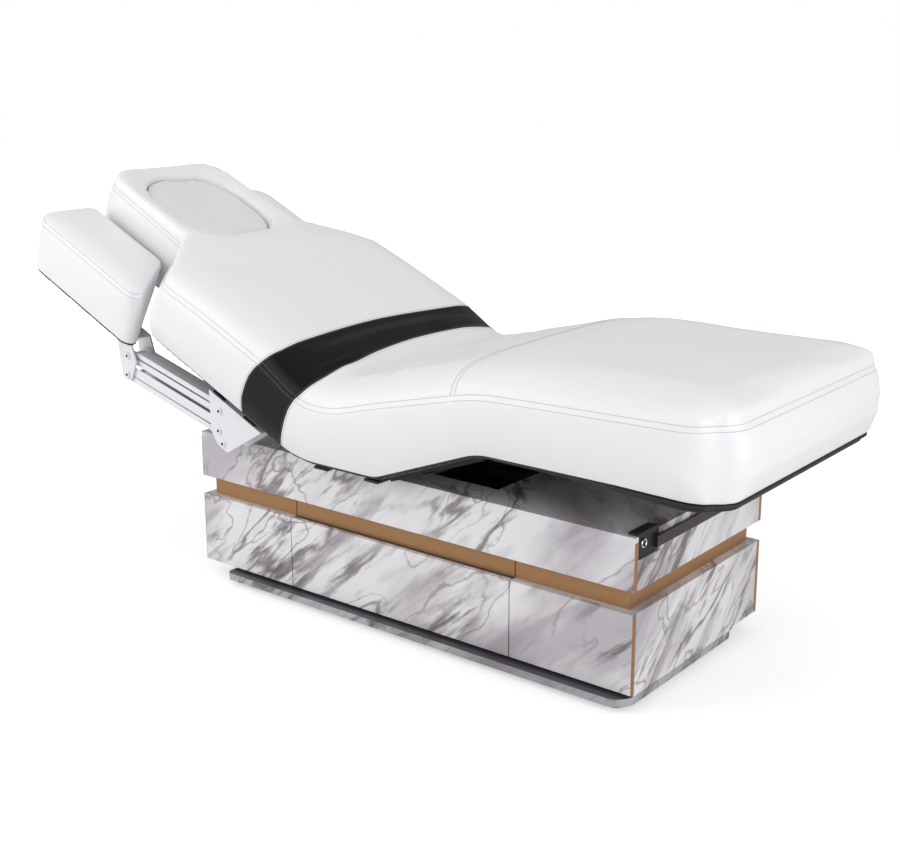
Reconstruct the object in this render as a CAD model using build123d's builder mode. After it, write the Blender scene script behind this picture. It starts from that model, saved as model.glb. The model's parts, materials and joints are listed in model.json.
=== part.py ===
from build123d import *
from math import cos, pi, radians, sin, tan
import os

os.makedirs("parts", exist_ok=True)

# Treatment table: a marbled cabinet with two drawers, a mattress carriage on two lift columns,
# back, thigh and leg sections on hinges, and an armrest on a parallelogram at each shoulder.
# Millimetres, +Z up. The origin is on the floor, at mid width, at the middle of the whole length.
# The head end is towards -X, the foot end towards +X, and the drawers open towards -Y.

# Clearances and overruns
face_gap = 0.3          # between soft or moving faces that nearly touch
panel_gap = 1.5         # shadow gap between neighbouring fronts
slide_gap = 1.0         # round a sliding tube or runner
pin_clearance = 0.05    # radial, round a hinge pin
overrun = 10.0          # how far a cut passes its material
knife = 2.0             # overlap that welds two tubes or bars together

# Cabinet
foot_face_x = 835.0
cabinet_length = 1360.0
cabinet_width = 596.0
cabinet_top_z = 404.0
panel_t = 13.0
board_t = 16.0
recess_depth = 24.0
bronze_t = 3.0
edge_strip_t = 1.0
front_bottom_z = 39.0
waist_bottom_z = 228.0
waist_top_z = 280.0
side_front_width = 330.0

# Plinth and feet
foot_height = 14.0
foot_pad_radius = 22.0
foot_pad_height = 9.0
foot_stem_radius = 7.0
foot_inset = 48.0
plinth_t = 19.0
plinth_near_overhang = 29.0
plinth_far_inset = 124.0
plinth_head_inset = 107.0
plinth_foot_radius = 50.0
plinth_head_radius = 18.0
toe_notch = 6.0

# Slot in the cabinet top
slot_head_margin = 45.0
slot_foot_margin = 427.0
slot_half_width = 211.0

# Foot-end rail
bracket_length = 84.0
bracket_drop = 54.0
bracket_rise = 5.0
bracket_setback = 2.0
bracket_lug_width = 16.0
bracket_step = 12.0
rail_height = 27.0
rail_t = 6.0
rail_standoff = 1.0
rail_drop = 15.0
ring_radius = 11.0
ring_bore = 7.0
ring_depth = 4.0
ring_inset = 22.0
ring_drop = 20.0

# Drawers
drawer_depth = 470.0
drawer_wall = 12.0
drawer_base_t = 8.0
drawer_height = 200.0
drawer_lift = 2.0
slide_height = 45.0
slide_t = 12.5
slide_wall = 2.0
slide_z = 110.0
slide_length = 450.0
runner_t = 5.0
runner_height = 40.0

# Lift columns
column_spacing = 300.0
column_hip_distance = 229.0
column_wall = 4.0
outer_tube_x = 130.0
outer_tube_y = 90.0
column_foot_x = 170.0
column_foot_y = 150.0
column_foot_t = 6.0
outer_tube_top_z = 352.0
control_box_x = 120.0
control_box_y = 160.0
control_box_z = 60.0
control_box_edge = 6.0
control_box_inset = 20.0

# Mattress carriage frame
hinge_z = 408.0
hip_x = -74.0
lap_x = 186.0
beam_height = 40.0
beam_top_z = 406.0
beam_width = 30.0
beam_half_spacing = 75.0
beam_head_x = -45.0
beam_foot_x = 398.0
strap_t = 6.0
strap_width = 44.0
strap_half_length = 360.0
head_plate_t = 6.0
lug_t = 8.0
lug_radius = 10.0
pin_radius = 6.0
pin_end_y = 136.0

# Back section, lengths along the back from the hip hinge and up from its plane
back_angle = 24.7
deck_drop = 4.0
deck_t = 12.0
deck_edge_inset = 56.0
deck_hinge_gap = 14.0
seam_w = 172.0
crown = 20.0
mattress_half_width = 408.0
band_start_u = 50.0
band_end_u = 212.0
shoulder_u = 575.0
notch_u = 733.0
notch_half_width = 214.0
head_end_u = 1112.0
head_end_half_width = 196.0
head_corner_radius = 70.0
shoulder_radius = 26.0
notch_radius = 18.0
plug_half_length = 178.0
plug_half_width = 154.0
plug_centre_u = 878.0
plug_ledge = 26.0
plug_crown = 4.0
edge_round = 12.0

# Seam line of the seat, thigh and leg
seat_seam_w = 175.0
lap_vertex_offset = -124.0
knee_vertex_offset = -7.0
hip_bend_radius = 250.0
lap_bend_radius = 280.0
knee_bend_radius = 600.0
tuck_rise = 46.0
plug_point_count = 12
plug_power_share = 0.72

# Thigh and leg
thigh_angle = 20.7
thigh_length = 321.5
knee_axis_w = 10.0
knuckle_radius = 6.0
knuckle_pin_radius = 3.0
knuckle_width = 18.0
knuckle_y = 104.0
knuckle_length = 20.0
leg_length = 600.0
foot_corner_radius = 88.0
lap_fold_half = 16.0
knee_fold_half_top = 42.0
hip_cut_offset = 16.0
knee_fold_half_bottom = 8.0
leg_deck_inset = 50.0

# Hinge tubes, section frames and levers
torque_radius = 12.0
thigh_tube_radius = 9.0
rail_width = 30.0
rail_depth = 26.0
rail_centre_y = 117.0
thigh_bar_y = 122.0
rail_length = 400.0
head_strap_y = 142.0
head_strap_width = 28.0
head_tie_width = 24.0
tie_width = 40.0
lever_drop = 50.0
lever_width = 30.0
lever_t = 6.0
lever_y = 150.0
lever_slack = 2.6
lever_rim = 4.0
thigh_lever_drop = 60.0
thigh_lever_slack = 1.2
back_lever_rest_angle = 10.3
thigh_lever_rest_angle = 7.85
lever_swing_angle = 35.0
thigh_lever_swing_angle = 12.85
gusset_length = 120.0
gusset_drop = 26.0

# Actuators
rod_radius = 7.0
rod_eye_t = 7.0
rod_eye_radius = 12.0
rod_pin_radius = 5.0
tube_radius = 15.0
tube_length = 130.0
gearbox_length = 46.0
gearbox_width = 44.0
gearbox_bottom = 22.0
motor_radius = 18.0
motor_length = 90.0
motor_cap_length = 6.0
motor_cap_angle = 30.0
motor_rise = 28.0
back_tube_x = -4.0
thigh_tube_x = 222.0
rod_length = 160.0
thigh_rod_length = 105.0
rod_neck = 26.0
thigh_rod_neck = 18.0
bore_gap = 0.4

# Armrest linkage, places measured in the back section's own frame
arm_side_inset = 32.0
arm_width = 72.0
arm_plate_t = 5.0
arm_web_w = -2.0
pivot_upper_u = 300.0
pivot_upper_w = -34.0
pivot_pitch_u = -18.0
pivot_pitch_w = -50.0
link_run_u = 363.0
link_run_w = -61.0
stop_u = 256.0
stop_w = -108.0
arm_pin_radius = 6.0
bolt_head_radius = 9.0
bolt_head_t = 4.0
mount_front = 55.0
mount_rear = 150.0
mount_toe_rear = 22.0
mount_toe_front = 16.0
plate_margin = 14.0
root_margin_u = 24.0
root_margin_w = 18.0
link_wall = 3.0
link_end_radius = 18.0
lower_link_inset = 7.0
lower_link_rise = 26.0
upper_link_inset = 11.5
upper_link_drop = 20.0
upper_link_rise = 16.0
link_web_inset = 26.0

# Armrest pads
pad_start_u = 622.0
pad_slant = 154.0
pad_end_u = 1092.0
pad_overhang = 17.0
pad_head_gap = 8.0
pad_bottom_w = -47.0
pad_height = 157.0
pad_crown = 14.0
pad_corner_radius = 58.0
pad_shoulder_radius = 26.0
pad_inner_radius = 24.0
pad_plate_u = 910.0
pad_plate_start_u = 672.0
bracket_front = 72.0
bracket_waist = 17.0
bracket_heel_u = 6.0
bracket_heel_w = 8.0
pad_tuck = 7.0
pad_crown_inset = 20.0

# Derived places of the cabinet
head_face_x = foot_face_x - cabinet_length
slot_head_x = head_face_x + slot_head_margin
slot_foot_x = foot_face_x - slot_foot_margin
cabinet_x = foot_face_x - cabinet_length / 2
half_width = cabinet_width / 2
facing_t = recess_depth + bronze_t
plinth_top_z = foot_height + plinth_t
floor_top_z = plinth_top_z + board_t
inner_y = half_width - facing_t
wall_back_y = inner_y - panel_t
left_seam_x = head_face_x + side_front_width
right_seam_x = foot_face_x - side_front_width
end_inner_foot_x = foot_face_x - facing_t - board_t
end_inner_head_x = head_face_x + facing_t + board_t
front_span = half_width - panel_t
top_under_z = cabinet_top_z - panel_t

# Derived places of the mattress
back_cos = cos(radians(back_angle))
back_sin = sin(radians(back_angle))
thigh_cos = cos(radians(thigh_angle))
thigh_sin = sin(radians(thigh_angle))
deck_top_w = deck_drop + deck_t
arm_outer_y = mattress_half_width - arm_side_inset
arm_inner_y = arm_outer_y - arm_width
lower_link_outer_y = arm_outer_y - lower_link_inset
lower_link_inner_y = arm_inner_y + lower_link_inset
upper_link_outer_y = arm_outer_y - upper_link_inset
upper_link_inner_y = arm_inner_y + upper_link_inset
pad_outer_y = mattress_half_width + pad_overhang
pad_inner_y = notch_half_width + pad_head_gap
knee_x = lap_x + thigh_length * thigh_cos - knee_axis_w * thigh_sin
knee_z = hinge_z + thigh_length * thigh_sin + knee_axis_w * thigh_cos
leg_under_z = knee_z - knee_axis_w + deck_drop
leg_base_z = leg_under_z + deck_t
leg_seam_z = knee_z - knee_axis_w + seam_w
leg_end_x = knee_x + leg_length
side_sign = {"near": -1, "far": 1}


def back_point(u, w):
    """X and Z of a point u along the back from the hip hinge and w above its plane."""
    return (hip_x - u * back_cos + w * back_sin, hinge_z + u * back_sin + w * back_cos)


def thigh_point(u, w):
    """X and Z of a point u along the thigh from the lap hinge and w above its plane."""
    return (lap_x + u * thigh_cos - w * thigh_sin, hinge_z + u * thigh_sin + w * thigh_cos)


def upright(y):
    """The plane of a side profile, X and Z, at depth y; it extrudes towards -Y."""
    return Plane.XZ.offset(-y)


back_plane = Plane(origin=(hip_x, 0, hinge_z), x_dir=(-back_cos, 0, back_sin),
                   z_dir=(back_sin, 0, back_cos))
thigh_plane = Plane(origin=(lap_x, 0, hinge_z), x_dir=(thigh_cos, 0, thigh_sin),
                    z_dir=(-thigh_sin, 0, thigh_cos))


def save(part, label):
    """Label a finished piece and write it as a STEP file under its node's name."""
    part.label = label
    export_step(part, "parts/" + label + ".step")


# Plinth board: proud of the near side, short of the far side and of the head end
plinth_near_y = -half_width - plinth_near_overhang
plinth_far_y = half_width - plinth_far_inset
plinth_head_x = head_face_x + plinth_head_inset
with BuildPart() as plinth_board:
    with BuildSketch(Plane.XY.offset(foot_height)):
        with BuildLine():
            FilletPolyline((plinth_head_x, plinth_near_y), (foot_face_x, plinth_near_y),
                           (foot_face_x, plinth_far_y), (plinth_head_x, plinth_far_y),
                           close=True, radius=(plinth_head_radius, plinth_foot_radius,
                                               plinth_head_radius, plinth_head_radius))
        make_face()
    extrude(amount=plinth_t)
save(plinth_board.part, "plinth_board")

# Levelling feet: a round pad with a threaded stem, under the plinth
foot_xs = (plinth_head_x + foot_inset, (plinth_head_x + foot_face_x) / 2, foot_face_x - foot_inset)
foot_ys = (plinth_near_y + foot_inset, plinth_far_y - foot_inset)
with BuildPart() as levelling_feet:
    with BuildSketch(Plane.XZ):
        with BuildLine():
            Polyline((0, 0), (foot_pad_radius, 0), (foot_pad_radius, foot_pad_height / 2),
                     (foot_stem_radius, foot_pad_height), (foot_stem_radius, foot_height),
                     (0, foot_height), close=True)
        make_face()
    foot_profile = revolve(axis=Axis.Z, mode=Mode.PRIVATE)
    with Locations([(x, y) for x in foot_xs for y in foot_ys]):
        add(foot_profile)
save(levelling_feet.part, "levelling_feet")

# Floor board of the carcass, on the plinth
with BuildPart() as carcass_floor:
    with BuildSketch(Plane.XY.offset(plinth_top_z)):
        with Locations((cabinet_x, 0)):
            Rectangle(cabinet_length - 2 * facing_t, 2 * (wall_back_y - panel_gap))
    extrude(amount=board_t)
save(carcass_floor.part, "carcass_floor")

# Uprights: two end boards up to the top board, and two partitions behind the front seams
upright_span = 2 * (wall_back_y - panel_gap)
with BuildPart() as carcass_uprights:
    with BuildSketch(Plane.XY.offset(floor_top_z)):
        with Locations((end_inner_foot_x + board_t / 2, 0), (end_inner_head_x - board_t / 2, 0)):
            Rectangle(board_t, upright_span)
    extrude(amount=top_under_z - floor_top_z)
    with BuildSketch(Plane.XY.offset(floor_top_z)):
        with Locations((left_seam_x, 0), (right_seam_x, 0)):
            Rectangle(board_t, upright_span)
    extrude(amount=waist_top_z - floor_top_z)
save(carcass_uprights.part, "carcass_uprights")

# Long rails that close the underside of the upper box above the recess
carcass_rail_width = front_span - wall_back_y
with BuildPart() as carcass_rails:
    with BuildSketch(Plane.XY.offset(waist_top_z)):
        for sign in side_sign.values():
            with Locations((cabinet_x, sign * (front_span + wall_back_y) / 2)):
                Rectangle(cabinet_length - 2 * facing_t, carcass_rail_width)
    extrude(amount=board_t)
save(carcass_rails.part, "carcass_rails")


def wall_profile(sign):
    """Y and Z points of a fixed wall with its ledge, behind a lower panel."""
    return [(sign * front_span, front_bottom_z), (sign * wall_back_y, front_bottom_z),
            (sign * wall_back_y, waist_top_z), (sign * inner_y, waist_top_z),
            (sign * inner_y, waist_bottom_z), (sign * front_span, waist_bottom_z)]


# Fixed walls behind the lower panels: the whole far side, and the middle of the near side
with BuildPart() as carcass_walls:
    with BuildSketch(Plane.YZ.offset(head_face_x + facing_t)):
        with BuildLine():
            Polyline(*wall_profile(1), close=True)
        make_face()
    extrude(amount=cabinet_length - 2 * facing_t)
    with BuildSketch(Plane.YZ.offset(left_seam_x + panel_gap)):
        with BuildLine():
            Polyline(*wall_profile(-1), close=True)
        make_face()
    extrude(amount=right_seam_x - left_seam_x - 2 * panel_gap)
save(carcass_walls.part, "carcass_walls")

# Upper side panels, mitred with the top board along their upper edges
strip_x = head_face_x + edge_strip_t
with BuildPart() as upper_side_panels:
    with BuildSketch(Plane.YZ.offset(strip_x)):
        for sign in side_sign.values():
            with BuildLine():
                Polyline((sign * half_width, waist_top_z), (sign * half_width, cabinet_top_z),
                         (sign * front_span, top_under_z), (sign * front_span, waist_top_z),
                         close=True)
            make_face()
    extrude(amount=cabinet_length - 2 * edge_strip_t)
save(upper_side_panels.part, "upper_side_panels")

# Upper end panels; the foot end has a notch at each corner for the rail brackets
notch_z = cabinet_top_z - bracket_drop
notch_y = front_span - bracket_length
with BuildPart() as upper_end_panels:
    with BuildSketch(Plane.YZ.offset(foot_face_x - facing_t)):
        with BuildLine():
            Polyline((-front_span, waist_top_z), (front_span, waist_top_z), (front_span, notch_z),
                     (notch_y, notch_z), (notch_y, top_under_z), (-notch_y, top_under_z),
                     (-notch_y, notch_z), (-front_span, notch_z), close=True)
        make_face()
    extrude(amount=facing_t)
    with BuildSketch(Plane.YZ.offset(head_face_x)):
        with Locations((0, (waist_top_z + top_under_z) / 2)):
            Rectangle(2 * front_span, top_under_z - waist_top_z)
    extrude(amount=facing_t)
save(upper_end_panels.part, "upper_end_panels")

# Top board with mitred long edges, the carriage slot and two corner notches
with BuildPart() as top_board:
    with BuildSketch(Plane.YZ.offset(head_face_x)):
        with BuildLine():
            Polyline((-half_width, cabinet_top_z), (half_width, cabinet_top_z),
                     (front_span, top_under_z), (-front_span, top_under_z), close=True)
        make_face()
    extrude(amount=cabinet_length)
    with BuildSketch(Plane.XY.offset(top_under_z - overrun)):
        with Locations(((slot_head_x + slot_foot_x) / 2, 0)):
            Rectangle(slot_foot_x - slot_head_x, 2 * slot_half_width)
        with Locations(*[(foot_face_x, sign * (front_span - bracket_length / 2))
                         for sign in side_sign.values()]):
            Rectangle(2 * facing_t, bracket_length)
    extrude(amount=panel_t + 2 * overrun, mode=Mode.SUBTRACT)
save(top_board.part, "top_board")

# Lower panels: centre of the near side, whole far side, and both ends
with BuildPart() as lower_panel_centre:
    with BuildSketch(Plane.YZ.offset(left_seam_x + panel_gap)):
        with Locations((-half_width + panel_t / 2, (front_bottom_z + waist_bottom_z) / 2)):
            Rectangle(panel_t, waist_bottom_z - front_bottom_z)
    extrude(amount=right_seam_x - left_seam_x - 2 * panel_gap)
save(lower_panel_centre.part, "lower_panel_centre")

with BuildPart() as lower_panel_far:
    with BuildSketch(Plane.YZ.offset(strip_x)):
        with Locations((half_width - panel_t / 2, (front_bottom_z + waist_bottom_z) / 2)):
            Rectangle(panel_t, waist_bottom_z - front_bottom_z)
    extrude(amount=cabinet_length - 2 * edge_strip_t)
save(lower_panel_far.part, "lower_panel_far")

# The foot-end panel stands on the plinth and is cut higher beyond it
with BuildPart() as lower_end_panels:
    with BuildSketch(Plane.YZ.offset(foot_face_x - facing_t)):
        with BuildLine():
            Polyline((-front_span, plinth_top_z), (plinth_far_y, plinth_top_z),
                     (plinth_far_y, plinth_top_z + toe_notch), (front_span, front_bottom_z),
                     (front_span, waist_bottom_z), (-front_span, waist_bottom_z), close=True)
        make_face()
    extrude(amount=facing_t)
    with BuildSketch(Plane.YZ.offset(head_face_x)):
        with Locations((0, (front_bottom_z + waist_bottom_z) / 2)):
            Rectangle(2 * front_span, waist_bottom_z - front_bottom_z)
    extrude(amount=facing_t)
save(lower_end_panels.part, "lower_end_panels")

# Fixed bronze strips round the waist: near centre, far side and both ends
strip_height = waist_top_z - waist_bottom_z
strip_y = inner_y + bronze_t / 2
with BuildPart() as band_strips:
    with BuildSketch(Plane.XY.offset(waist_bottom_z)):
        with Locations((cabinet_x, -strip_y)):
            Rectangle(right_seam_x - left_seam_x - 2 * panel_gap, bronze_t)
        with Locations((cabinet_x, strip_y)):
            Rectangle(cabinet_length - 2 * recess_depth, bronze_t)
        for sign in side_sign.values():
            with Locations((cabinet_x + sign * (cabinet_length / 2 - recess_depth - bronze_t / 2), 0)):
                Rectangle(bronze_t, 2 * inner_y)
    extrude(amount=strip_height)
save(band_strips.part, "band_strips")

# Bronze strips on the ends of the fixed side panels
with BuildPart() as edge_strips:
    for x in (head_face_x, foot_face_x - edge_strip_t):
        with BuildSketch(Plane.YZ.offset(x)):
            for sign in side_sign.values():
                with Locations((sign * (half_width - panel_t / 2), (waist_top_z + top_under_z) / 2)):
                    Rectangle(panel_t, top_under_z - waist_top_z)
            with Locations((half_width - panel_t / 2, (front_bottom_z + waist_bottom_z) / 2)):
                Rectangle(panel_t, waist_bottom_z - front_bottom_z)
        extrude(amount=edge_strip_t)
save(edge_strips.part, "edge_strips")

# Foot-end rail: corner brackets in the notches, a flat rail between them and two ring fittings
rail_x = foot_face_x + rail_standoff
rail_top_z = cabinet_top_z - rail_drop
bracket_front_x = foot_face_x - bracket_setback
with BuildPart() as rail_bracket_near:
    with BuildSketch(Plane.YZ.offset(foot_face_x - facing_t)):
        with BuildLine():
            Polyline((-front_span + face_gap, notch_z),
                     (-notch_y - bracket_step, notch_z),
                     (-notch_y - bracket_step, notch_z + bracket_step),
                     (-notch_y - face_gap, notch_z + bracket_step),
                     (-notch_y - face_gap, cabinet_top_z + bracket_rise),
                     (-front_span + face_gap, cabinet_top_z + bracket_rise), close=True)
        make_face()
    extrude(amount=facing_t - bracket_setback)
    with BuildSketch(Plane.YZ.offset(bracket_front_x)):
        with Locations((-notch_y - face_gap - bracket_lug_width / 2, rail_top_z - rail_height / 2)):
            Rectangle(bracket_lug_width, rail_height)
    extrude(amount=bracket_setback + rail_standoff)
with BuildPart() as rail_brackets:
    add(rail_bracket_near.part)
    mirror(rail_bracket_near.part, about=Plane.XZ)
save(rail_brackets.part, "rail_brackets")

with BuildPart() as end_rail:
    with BuildSketch(Plane.YZ.offset(rail_x)):
        with Locations((0, rail_top_z - rail_height / 2)):
            Rectangle(2 * (notch_y + bracket_lug_width), rail_height)
    extrude(amount=rail_t)
    fillet(end_rail.edges().filter_by(Axis.Y), radius=rail_t / 4)
save(end_rail.part, "end_rail")

with BuildPart() as rail_rings:
    with BuildSketch(Plane.YZ.offset(bracket_front_x)):
        with Locations(*[(sign * (front_span - ring_inset), cabinet_top_z - ring_drop)
                         for sign in side_sign.values()]):
            Circle(ring_radius)
            Circle(ring_bore, mode=Mode.SUBTRACT)
    extrude(amount=ring_depth)
    chamfer(rail_rings.edges().filter_by(GeomType.CIRCLE).group_by(Axis.X)[-1], length=ring_depth / 4)
save(rail_rings.part, "rail_rings")

# Drawers: front, bronze trim, box and runners; the slides' outer channels stay on the carcass
drawer_floor_z = floor_top_z + drawer_lift
bays = {
    "left": (end_inner_head_x, left_seam_x - board_t / 2, head_face_x, left_seam_x - panel_gap),
    "right": (right_seam_x + board_t / 2, end_inner_foot_x, right_seam_x + panel_gap, foot_face_x),
}
for name, (bay_start, bay_end, front_start, front_end) in bays.items():
    outer_x = head_face_x if name == "left" else foot_face_x - edge_strip_t
    face_start = front_start + (edge_strip_t if name == "left" else 0)
    face_end = front_end - (0 if name == "left" else edge_strip_t)
    wall_start = front_start + (facing_t + face_gap if name == "left" else 0)
    wall_end = front_end - (0 if name == "left" else facing_t + face_gap)
    blade_start = front_start + (recess_depth if name == "left" else 0)
    blade_end = front_end - (0 if name == "left" else recess_depth)
    box_start = bay_start + slide_t
    box_end = bay_end - slide_t

    with BuildPart() as drawer_front:
        with BuildSketch(Plane.XY.offset(front_bottom_z)):
            with Locations(((face_start + face_end) / 2, -half_width + panel_t / 2)):
                Rectangle(face_end - face_start, panel_t)
        extrude(amount=waist_bottom_z - front_bottom_z)
    save(drawer_front.part, "drawer_front_" + name)

    with BuildPart() as drawer_trim:
        with BuildSketch(Plane.XY.offset(waist_bottom_z)):
            with Locations(((blade_start + blade_end) / 2, -strip_y - face_gap)):
                Rectangle(blade_end - blade_start, bronze_t)
        extrude(amount=strip_height - slide_gap)
        with BuildSketch(Plane.XY.offset(front_bottom_z)):
            with Locations((outer_x + edge_strip_t / 2, -half_width + panel_t / 2)):
                Rectangle(edge_strip_t, panel_t)
        extrude(amount=waist_bottom_z - front_bottom_z)
    save(drawer_trim.part, "drawer_trim_" + name)

    with BuildPart() as drawer_box:
        with BuildSketch(Plane.XY.offset(drawer_floor_z)):
            with Locations(((box_start + box_end) / 2, -wall_back_y + drawer_depth / 2)):
                Rectangle(box_end - box_start, drawer_depth)
        extrude(amount=drawer_height)
        with BuildSketch(Plane.XY.offset(drawer_floor_z + drawer_base_t)):
            with Locations(((box_start + box_end) / 2,
                            -wall_back_y + (drawer_depth - drawer_wall) / 2)):
                Rectangle(box_end - box_start - 2 * drawer_wall, drawer_depth - drawer_wall)
        extrude(amount=drawer_height, mode=Mode.SUBTRACT)
        with BuildSketch(Plane.YZ.offset(wall_start)):
            with BuildLine():
                Polyline((-front_span, front_bottom_z), (-wall_back_y, front_bottom_z),
                         (-wall_back_y, waist_top_z - slide_gap),
                         (-inner_y - face_gap, waist_top_z - slide_gap),
                         (-inner_y - face_gap, waist_bottom_z),
                         (-front_span, waist_bottom_z), close=True)
            make_face()
        extrude(amount=wall_end - wall_start)
    save(drawer_box.part, "drawer_box_" + name)

    runner_y = -wall_back_y + face_gap
    with BuildPart() as drawer_runners:
        with BuildSketch(Plane.XZ.offset(-runner_y)):
            for x, sign in ((box_start, -1), (box_end, 1)):
                with Locations((x + sign * runner_t / 2, slide_z)):
                    Rectangle(runner_t, runner_height)
        extrude(amount=-slide_length)
    save(drawer_runners.part, "drawer_runners_" + name)

# Outer channels of the slides, fixed to the carcass and open towards the drawer boxes
channel_t = slide_t - slide_gap
with BuildPart() as drawer_slides:
    with BuildSketch(Plane.XZ.offset(wall_back_y - face_gap)):
        for bay_start, bay_end, _, _ in bays.values():
            for x, sign in ((bay_start, 1), (bay_end, -1)):
                with Locations((x + sign * channel_t / 2, slide_z)):
                    Rectangle(channel_t, slide_height)
                with Locations((x + sign * (slide_wall + channel_t / 2), slide_z)):
                    Rectangle(channel_t, slide_height - 2 * slide_wall, mode=Mode.SUBTRACT)
    extrude(amount=-slide_length)
save(drawer_slides.part, "drawer_slides")

# Lift columns: three nested tubes each; the outer ones stand on foot plates
column_middle_x = hip_x + column_hip_distance
column_xs = (column_middle_x - column_spacing / 2, column_middle_x + column_spacing / 2)
shrink = 2 * (column_wall + slide_gap)
column_foot_z = floor_top_z + column_foot_t
plate_bottom_z = beam_top_z - beam_height - head_plate_t


def tube(bottom_z, top_z, size_x, size_y):
    """Two rectangular tubes side by side, one for each column."""
    with BuildPart() as tubes:
        with BuildSketch(Plane.XY.offset(bottom_z)):
            with Locations(*[(x, 0) for x in column_xs]):
                Rectangle(size_x, size_y)
                Rectangle(size_x - 2 * column_wall, size_y - 2 * column_wall, mode=Mode.SUBTRACT)
        extrude(amount=top_z - bottom_z)
    return tubes.part


with BuildPart() as column_outers:
    add(tube(column_foot_z, outer_tube_top_z, outer_tube_x, outer_tube_y))
    with BuildSketch(Plane.XY.offset(floor_top_z)):
        with Locations(*[(x, 0) for x in column_xs]):
            RectangleRounded(column_foot_x, column_foot_y, column_wall)
    extrude(amount=column_foot_t)
save(column_outers.part, "column_outers")

tube_bottom_z = column_foot_z + face_gap
save(tube(tube_bottom_z, plate_bottom_z - face_gap, outer_tube_x - shrink, outer_tube_y - shrink),
     "column_middles")
save(tube(tube_bottom_z, plate_bottom_z, outer_tube_x - 2 * shrink, outer_tube_y - 2 * shrink),
     "column_inners")

control_box_place = (right_seam_x - board_t / 2 - control_box_x / 2 - control_box_inset,
                     wall_back_y - control_box_y / 2 - control_box_inset)
with BuildPart() as control_box:
    with BuildSketch(Plane.XY.offset(floor_top_z)):
        with Locations(control_box_place):
            RectangleRounded(control_box_x, control_box_y, control_box_edge)
    extrude(amount=control_box_z)
    chamfer(control_box.faces().sort_by(Axis.Z)[-1].edges(), length=control_box_edge / 2)
save(control_box.part, "control_box")

# Carriage frame: two beams, head plates on the columns, cross straps, hinge lugs and pins
lug_inner_y = beam_half_spacing + beam_width / 2
lug_bottom_z = beam_top_z - beam_height / 2
with BuildPart() as carriage_frame:
    with BuildSketch(Plane.XY.offset(beam_top_z - beam_height)):
        for sign in side_sign.values():
            with Locations(((beam_head_x + beam_foot_x) / 2, sign * beam_half_spacing)):
                Rectangle(beam_foot_x - beam_head_x, beam_width)
        for x in (beam_head_x + beam_width / 2, beam_foot_x - beam_width / 2):
            with Locations((x, 0)):
                Rectangle(beam_width, 2 * beam_half_spacing)
    extrude(amount=beam_height)
    with BuildSketch(Plane.XY.offset(plate_bottom_z)):
        with Locations(*[(x, 0) for x in column_xs]):
            Rectangle(outer_tube_x, 2 * beam_half_spacing + beam_width)
    extrude(amount=head_plate_t)
    with BuildSketch(Plane.XY.offset(beam_top_z)):
        with Locations((beam_head_x + strap_width / 2, 0), (lap_x - strap_width, 0)):
            Rectangle(strap_width, 2 * strap_half_length)
    extrude(amount=hinge_z + deck_drop - beam_top_z)
    for hinge_x, reach in ((hip_x, beam_head_x + knife), (lap_x, lap_x + strap_width)):
        for y in (lug_inner_y + lug_t, -lug_inner_y):
            with BuildSketch(upright(y)):
                with BuildLine():
                    Polyline((hinge_x, lug_bottom_z), (reach, lug_bottom_z), (reach, hinge_z),
                             (hinge_x, hinge_z), close=True)
                make_face()
                with Locations((hinge_x, hinge_z)):
                    Circle(lug_radius)
            extrude(amount=lug_t)
        for y in (pin_end_y, -lug_inner_y):
            with BuildSketch(upright(y)):
                with Locations((hinge_x, hinge_z)):
                    Circle(pin_radius)
            extrude(amount=pin_end_y - lug_inner_y)
    # blocks that carry the two actuators at their gearboxes
    for tube_x, sign in ((back_tube_x, 1), (thigh_tube_x, -1)):
        with BuildSketch(Plane.XY.offset(beam_top_z - beam_height)):
            with Locations((tube_x + tube_length + gearbox_length / 2,
                            sign * (lug_inner_y + lever_y - gearbox_width / 2) / 2)):
                Rectangle(gearbox_length / 2, lever_y - gearbox_width / 2 - lug_inner_y)
        extrude(amount=beam_height / 2)
    # the head lugs are tied to the beams by short plates
    for y in (lug_inner_y + lug_t, -lug_inner_y + lug_t):
        with BuildSketch(upright(y)):
            with Locations((beam_head_x + beam_width / 2, beam_top_z - beam_height / 2)):
                Rectangle(beam_width, beam_height)
        extrude(amount=2 * lug_t)
save(carriage_frame.part, "carriage_frame")

# Seat deck board on the straps
seat_deck_start_x = hip_x + deck_hinge_gap
seat_deck_end_x = lap_x - deck_hinge_gap
deck_half_width = mattress_half_width - deck_edge_inset
with BuildPart() as seat_deck:
    with BuildSketch(Plane.XY.offset(hinge_z + deck_drop)):
        with Locations(((seat_deck_start_x + seat_deck_end_x) / 2, 0)):
            Rectangle(seat_deck_end_x - seat_deck_start_x, 2 * deck_half_width)
    extrude(amount=deck_t)
save(seat_deck.part, "seat_deck")


def back_outline(inset):
    """Corners and corner radii of the back cushion's plan, drawn in by inset."""
    half = mattress_half_width - inset
    notch = (notch_u - inset, notch_half_width - inset)
    head = (head_end_u - inset, head_end_half_width - inset)
    shoulder = (shoulder_u - inset, half)
    corners = [(band_end_u, -half), (shoulder[0], -half), (notch[0], -notch[1]), (head[0], -head[1]),
               head, notch, shoulder, (band_end_u, half)]
    head_radius = head_corner_radius - inset
    return corners, (0, shoulder_radius, notch_radius, head_radius, head_radius, notch_radius,
                     shoulder_radius, 0)


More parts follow.
